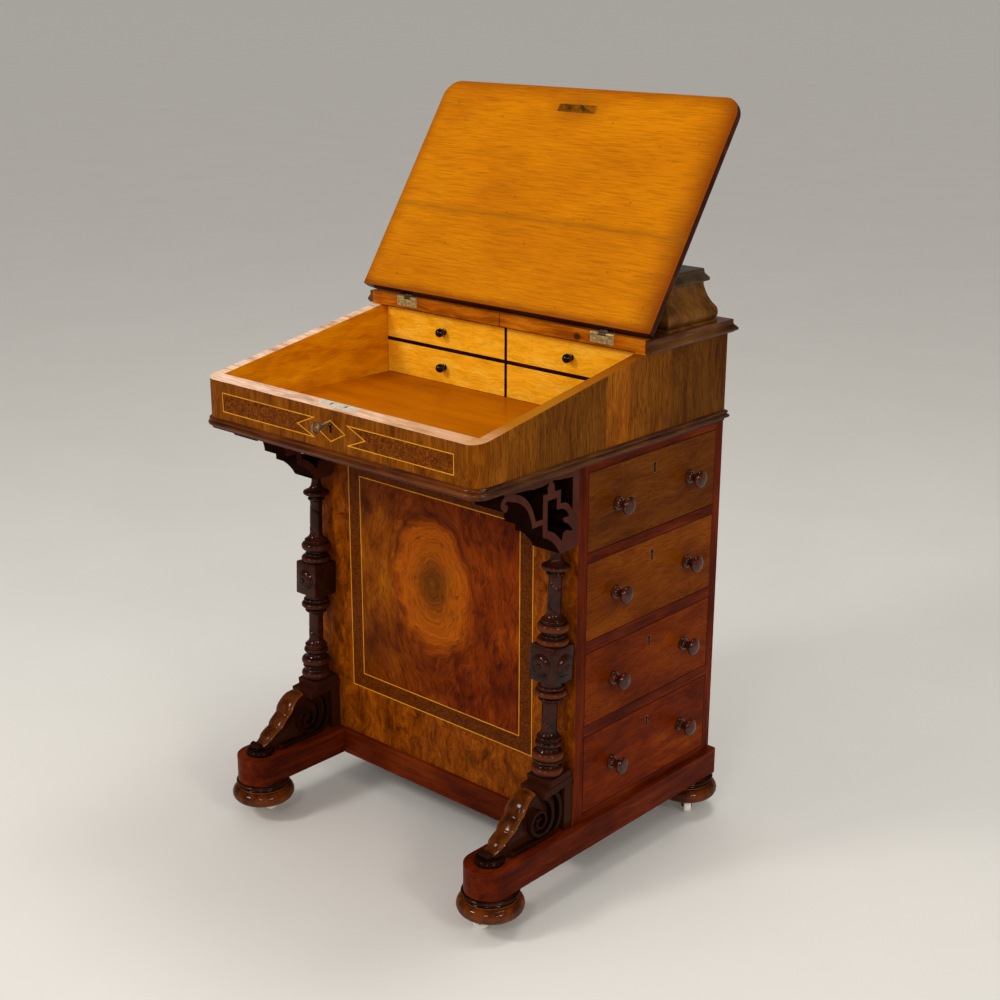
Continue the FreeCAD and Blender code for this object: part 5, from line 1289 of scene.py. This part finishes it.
STAT_EDGE = ((-2.2, 0.9), (-0.7, 1.6), (0.1, 1.8), (0.9, 1.4), (5.6, 3.2), (1.2, 0.5), (1.6, 1.6),
             (0.7, 2.6), (0.3, 2.0), (1.4, 1.4))
lid_low, lid_high = extent("stationery_lid")
finish("stationery_lid_moulded", stationery_lid(lid_low, lid_high, STAT_EDGE), "stationery_lid", [STAT_TOP],
       "stationery_lid", ease=0.3)
eased("stationery_lid_leaves", "stationery_lid", [BRASS], 0.15)
print("stationery box, mm high:", round(lid_high.z - TOP_Z, 1))

# %% [markdown]
# ## Columns
# Each column is turned between centres, then leaned with its foot forward. Half way up the turner left
# the square block whole, and a carver set a round boss on its faces. One groove winds up each plain
# shaft. It is made here by pushing the turned mesh inwards along a helix.

# %% Columns
COLUMN_X, COLUMN_AHEAD, LEAN = HALF - 24.0, 23.2, math.radians(2.46)
COLUMN_BASE = extent("columns")[0].z
BLOCK_HALF, BLOCK_MIDDLE, BLOCK_H, BLOCK_EASE = 22.2, 165.7, 53, 2.2
foot_turning = ([(0, 0), (20.6, 0)] + bulge(19.4, 5.4, 3.3, 4.6, -75, 80, 9) + [(18.4, 10.6)]
                + swell((18.4, 10.8), (18.8, 16.6), -2.0, 5) + bulge(19.0, 18.4, 1.5, 1.4, steps=6)
                + [(18.0, 20.2), (18.0, 21.6)] + bulge(19.0, 27.4, 3.7, 5.6, -80, 80, 10) + [(16.4, 33.6)]
                + swell((16.0, 34.2), (15.8, 41.0), -1.8, 5) + bulge(16.4, 44.8, 2.6, 3.4, -85, 85, 8)
                + [(15.2, 48.8), (15.2, 50.6)] + bulge(15.4, 53.4, 2.0, 2.2, -80, 80, 7)
                + swell((14.8, 56.0), (11.2, 70.0), -1.8, 7))
lower_shaft = [(11.2, 70 + 34 * i / 18) for i in range(1, 19)]
waist_turning = (swell((11.2, 104.0), (13.6, 108.8), -0.6, 4) + bulge(14.4, 111.4, 2.6, 2.2, -85, 85, 7)
                 + [(13.8, 114.2), (15.4, 116.2)] + bulge(19.0, 121.0, 3.8, 4.2, -80, 80, 9) + [(17.0, 125.8)]
                 + bulge(17.4, 129.0, 2.1, 2.4, -80, 80, 7) + [(16.2, 132.2), (16.8, 138), (16.8, 192)]
                 + [(18.0, 192.8)] + bulge(19.2, 197.2, 3.6, 4.2, -80, 80, 8) + [(16.0, 202.0)]
                 + bulge(15.6, 204.4, 1.9, 1.7, -80, 80, 6) + swell((14.8, 206.6), (15.4, 211.2), -1.4, 5)
                 + bulge(18.6, 217.4, 4.2, 5.7, -80, 80, 10) + [(16.2, 223.6), (16.0, 225.4)]
                 + bulge(16.2, 227.0, 1.8, 1.4, -80, 80, 6) + swell((15.4, 229.0), (9.9, 243.0), -2.2, 7))
upper_shaft = [(9.9 - 0.4 * i / 20, 243 + 44 * i / 20) for i in range(1, 21)]
head_turning = (swell((9.5, 287), (10.6, 291.2), -0.4, 3) + bulge(10.8, 293.6, 2.3, 2.1, -85, 85, 7)
                + [(10.8, 296.2), (13.6, 299.8)] + bulge(17.0, 303.4, 3.2, 3.2, -85, 60, 8)
                + swell((17.0, 306.6), (7.4, 320.0), -2.6, 8) + swell((7.4, 320), (8.6, 332.7), -0.7, 4)
                + [(0, 332.7)])
column_profile = foot_turning + lower_shaft + waist_turning + upper_shaft + head_turning
print("column, mm high:", column_profile[-1][1])

# %% [markdown]
# The groove fades out at both ends of a shaft. The block is a cube with its edges eased, and two bosses
# sit on it, facing outwards and to the front.

# %% Groove, block and bosses
GROOVED = ((66.0, 106.0), (238.0, 289.0))
GROOVE_PITCH, GROOVE_DEPTH, GROOVE_W = 34.0, 2.3, 2.4


def groove(verts):
    """Cuts a spiral groove into the plain shafts, fading out at both ends."""
    for vert in verts:
        h = vert.co.z / MM
        for low, high in GROOVED:
            if low < h < high:
                r = math.hypot(vert.co.x, vert.co.y)
                phase = math.atan2(vert.co.y, vert.co.x) / math.tau + h / GROOVE_PITCH
                off = abs(phase - round(phase)) * math.tau * r / MM
                depth = GROOVE_DEPTH * math.sin(math.pi * (h - low) / (high - low)) ** 0.5
                scale = 1 - depth * math.exp(-(off / GROOVE_W) ** 2) * MM / r
                vert.co.x *= scale
                vert.co.y *= scale


boss_profile = ([(0, -1.0), (16.2, -1.0), (16.2, 0.8)] + swell((16.2, 0.8), (4.2, 6.2), 1.9, 10)
                + [(3.8, 5.6)] + bulge(0, 6.4, 3.3, 2.6, -15, 90, 8))


def column(bm, sign):
    """One column, its block and two bosses, leaned about the middle of the block."""
    middle = Matrix.Translation((0, 0, BLOCK_MIDDLE * MM))
    stand = (Matrix.Translation(at(sign * COLUMN_X, CARCASS_FRONT - COLUMN_AHEAD, COLUMN_BASE))
             @ middle @ Matrix.Rotation(-LEAN, 4, "X") @ middle.inverted())
    turned = lathe(bm, column_profile, 72)
    groove(turned)
    block = bmesh.ops.create_cube(bm, size=1.0)["verts"]
    size = (2 * BLOCK_HALF * MM, 2 * BLOCK_HALF * MM, BLOCK_H * MM, 1)
    bmesh.ops.transform(bm, verts=block, matrix=middle @ Matrix.Diagonal(size))
    edges = list({e for v in block for e in v.link_edges})
    bevelled = bmesh.ops.bevel(bm, geom=edges, offset=BLOCK_EASE * MM, segments=2, affect="EDGES",
                               profile=0.5, material=-1)
    block = list({v for f in bevelled["faces"] for v in f.verts})
    bosses = []
    for angle, axis in ((sign * 90, "Y"), (90, "X")):
        turn = Matrix.Rotation(math.radians(angle), 4, axis)
        bosses += lathe(bm, boss_profile, 40, middle @ turn @ Matrix.Translation((0, 0, BLOCK_HALF * MM)))
    bmesh.ops.transform(bm, verts=list(set(turned) | set(block) | set(bosses)), matrix=stand)


bm = bmesh.new()
for sign in (-1, 1):
    column(bm, sign)
cut_off(bm, at(0, CARCASS_FRONT, 0), closed=False)
BLOCK_LOW, BLOCK_HIGH = [(COLUMN_BASE + BLOCK_MIDDLE + reach) * MM for reach in (-28.0, 27.0)]


def rubbed_rings(tree, place, colour):
    """Dusting has rubbed the stain from the widest rings, most of all on the right-hand column."""
    part = axes_of(tree, place)
    x = sums(tree, "SUBTRACT", sums(tree, "ABSOLUTE", part["X"]), COLUMN_X)
    axis_y = at(0, CARCASS_FRONT - COLUMN_AHEAD, 0).y / MM - (COLUMN_BASE + BLOCK_MIDDLE) * math.tan(LEAN)
    y = sums(tree, "SUBTRACT", part["Y"], sums(tree, "MULTIPLY_ADD", part["Z"], math.tan(LEAN), axis_y))
    away = length_of(tree, add(tree, "CombineXYZ", {"X": x, "Y": y}).outputs["Vector"])
    side = fade(tree, part["X"], -100.0, 100.0, 0.3, 1.0)
    worn = sums(tree, "MULTIPLY", fade(tree, away, 18.4, 23.4), side)
    return mixed(tree, colour, linear("#54240a"), worn)


RINGS = plain("walnut_stained_turned_rubbed_rings", "#35140a", 0.3, 0, 0.32, 0.1, 0.85, "#150803", 22.0,
              shine=0.0, worn=rubbed_rings)
finish("columns_turned", bm, "carcass", [TURNED, RINGS], "columns", ease=0, welded=False,
       choose=lambda f: 0 if BLOCK_LOW < f.calc_center_median().z < BLOCK_HIGH else 1)
print("columns at x +-", COLUMN_X)

# %% [markdown]
# ## Fret brackets and scroll trusses
# The bracket is sawn from a thick board: a crook, a key pattern and two leaves, all one silhouette. The
# truss below the column is carved. Its core is cut back, and the scrolls stand out to the full width on
# both sides, which gives them deep shadows. A carved leaf runs down its front to a small roll.

# %% Fret brackets
# Painted shade: the sawn edges of the fret, round its outline and inside its piercings, are nearly black for
# the shade in them.
FRET_SHADE = plain("walnut_fret_edges_painted_shade", "#1c0a05", 0.5, 0, 0.01, 0.2, 0.6, "#0a0402", 30.0,
                  shine=0.0)
eased("fret_brackets", "carcass", [FRET, FRET_SHADE], 0.9,
      choose=lambda f: 1 if abs(f.normal.x) < 0.8 else 0)
TRUSS_HALF = 21.5


def in_front(x, ahead, up):
    """A place measured forwards from the front board and up from the plinth."""
    return at(x, CARCASS_FRONT - ahead, CARCASS_Z + up)


def strip(bm, points, x0, x1, steps=5):
    """A bent strip of wood through (ahead, up, width) points above the plinth, between two x planes."""
    line = smooth_path(points, steps)
    flat = [Vector((p.x, p.y)) for p in line]
    sides = []
    for i, p in enumerate(flat):
        run = flat[min(i + 1, len(flat) - 1)] - flat[max(i - 1, 0)]
        across = Vector((-run.y, run.x)).normalized() * (line[i].z / 2)
        sides.append([in_front(x0, q.x, q.y) for q in (p + across, p - across)])
    verts = [bm.verts.new(place) for place in sides[0]]
    edge = bm.edges.new(verts)
    faces = []
    for pair in sides[1:]:
        made = bmesh.ops.extrude_edge_only(bm, edges=[edge])["geom"]
        verts = twins(verts, kept(made, bmesh.types.BMVert))
        for vert, place in zip(verts, pair):
            vert.co = place
        edge = bm.edges.get(verts)
        faces += kept(made, bmesh.types.BMFace)
    made = bmesh.ops.extrude_face_region(bm, geom=faces)["geom"]
    bmesh.ops.translate(bm, verts=kept(made, bmesh.types.BMVert), vec=((x1 - x0) * MM, 0, 0))


def carved_leaf(bm, x, spine, widths, thick):
    """A carved leaf: crowned sections along a spine of (ahead, up) points."""
    line = smooth_path([(a, b, w) for (a, b), w in zip(spine, widths)], 4)
    rings = []
    for i, p in enumerate(line):
        run = Vector((line[min(i + 1, len(line) - 1)] - line[max(i - 1, 0)])[:2]).normalized()
        out = Vector((-run.y, run.x)) if run.x > 0 else Vector((run.y, -run.x))
        ring = []
        for k in range(12):
            a = math.tau * k / 12
            lift = thick * math.sin(a) * (1.0 if math.sin(a) > 0 else 0.8)
            spot = Vector(p[:2]) + out * lift
            ring.append(in_front(x + p.z / 2 * math.cos(a), spot.x, spot.y))
        rings.append(ring)
    loft(bm, rings)


print("bracket sawn")

# %% Scroll trusses
SCROLL = [(60, 67, 5), (50, 61, 6), (42, 48, 6.5), (40, 33, 6.5), (45, 19, 6), (57, 11.5, 5.5), (71, 13, 5.5),
          (82, 22, 5.5), (84.5, 35, 5), (77, 46.5, 4.6), (65, 48, 4.2), (56, 40, 4), (55.5, 29, 3.6),
          (64, 22.5, 3.4), (73, 28, 3.2), (71.5, 36.5, 3), (65, 37.5, 3)]
OUTER_LINE = [(40, 71, 5), (30, 60, 6), (24, 44, 6.5), (24, 26, 6.5), (31, 12, 6), (46, 4.5, 6), (70, 3.5, 6),
              (96, 4.5, 6), (126, 5, 6)]
CORE = [(0, 0), (150, 0), (150, 12), (128, 22), (108, 38), (92, 55), (84, 71), (0, 71)]
BACKBOARD = [(0, 0), (17, 0), (17, 72), (0, 72)]
CORE_HALF, CAP_TILT = 11.5, math.radians(5)
CURL = [(0, -10), (3.6, -10), (5.6, -8.8), (5.6, 8.8), (3.6, 10), (0, 10)]
PAD = [(0, 0), (21, 0)] + swell((21, 0), (19.6, 7.4), 1.4, 6) + [(17, 8.2), (0, 8.2)]


def slab(bm, x, front, back, low, high, half):
    """A slab under the column, tipped forward a little."""
    verts = board(bm, (x - half, CARCASS_FRONT - front, CARCASS_Z + low),
                  (x + half, CARCASS_FRONT - back, CARCASS_Z + high))
    pivot = Matrix.Translation(in_front(x, 0, high))
    bmesh.ops.transform(bm, verts=verts, matrix=pivot @ Matrix.Rotation(CAP_TILT, 4, "X") @ pivot.inverted())


def truss(bm, x):
    """Core, backboard, scrolls, the two slabs of its cap, and the roll and round pad at its toe."""
    for outline, half in ((CORE, CORE_HALF), (BACKBOARD, TRUSS_HALF)):
        prism(bm, [(CARCASS_FRONT - a, CARCASS_Z + b) for a, b in outline], x - half, x + half)
    for points in (SCROLL, OUTER_LINE):
        strip(bm, points, x - TRUSS_HALF + 1, x + TRUSS_HALF - 1)
    slab(bm, x, 49.7, 3, 81.2, 91.6, 21.5)
    slab(bm, x, 62, 0, 70.4, 81.2, 22.5)
    across = Matrix.Rotation(math.radians(90), 4, "Y")
    lathe(bm, CURL, 28, Matrix.Translation(in_front(x, 158, 13.2)) @ across)
    lathe(bm, PAD, 48, Matrix.Translation(in_front(x, 150.7, 0)))


LEAF_LINE = [(70, 74), (82, 72), (92, 64.5), (99, 55), (103, 48.5), (110, 42.5), (117, 35.5), (121, 31),
             (129, 27), (137, 21.5), (141, 17.5), (148, 13.5), (155, 10.5)]
LEAF_WIDTHS = [27, 31, 34.5, 36, 31.5, 32, 33, 28.5, 28.5, 28.5, 24, 21, 18]
LEAF_T = 4.4
# The leaves' lighter brown is partly wear and partly painted light.
bm = bmesh.new()
for sign in (-1, 1):
    carved_leaf(bm, sign * COLUMN_X, LEAF_LINE, LEAF_WIDTHS, LEAF_T)
finish("scroll_truss_leaves_carved", bm, "carcass", [LEAF], "scroll_trusses", ease=0)
bm = bmesh.new()
for sign in (-1, 1):
    truss(bm, sign * COLUMN_X)
finish("scroll_trusses_carved", bm, "carcass", [CARVED], "scroll_trusses", ease=0.7,
       welded=False)
print("trusses carved")
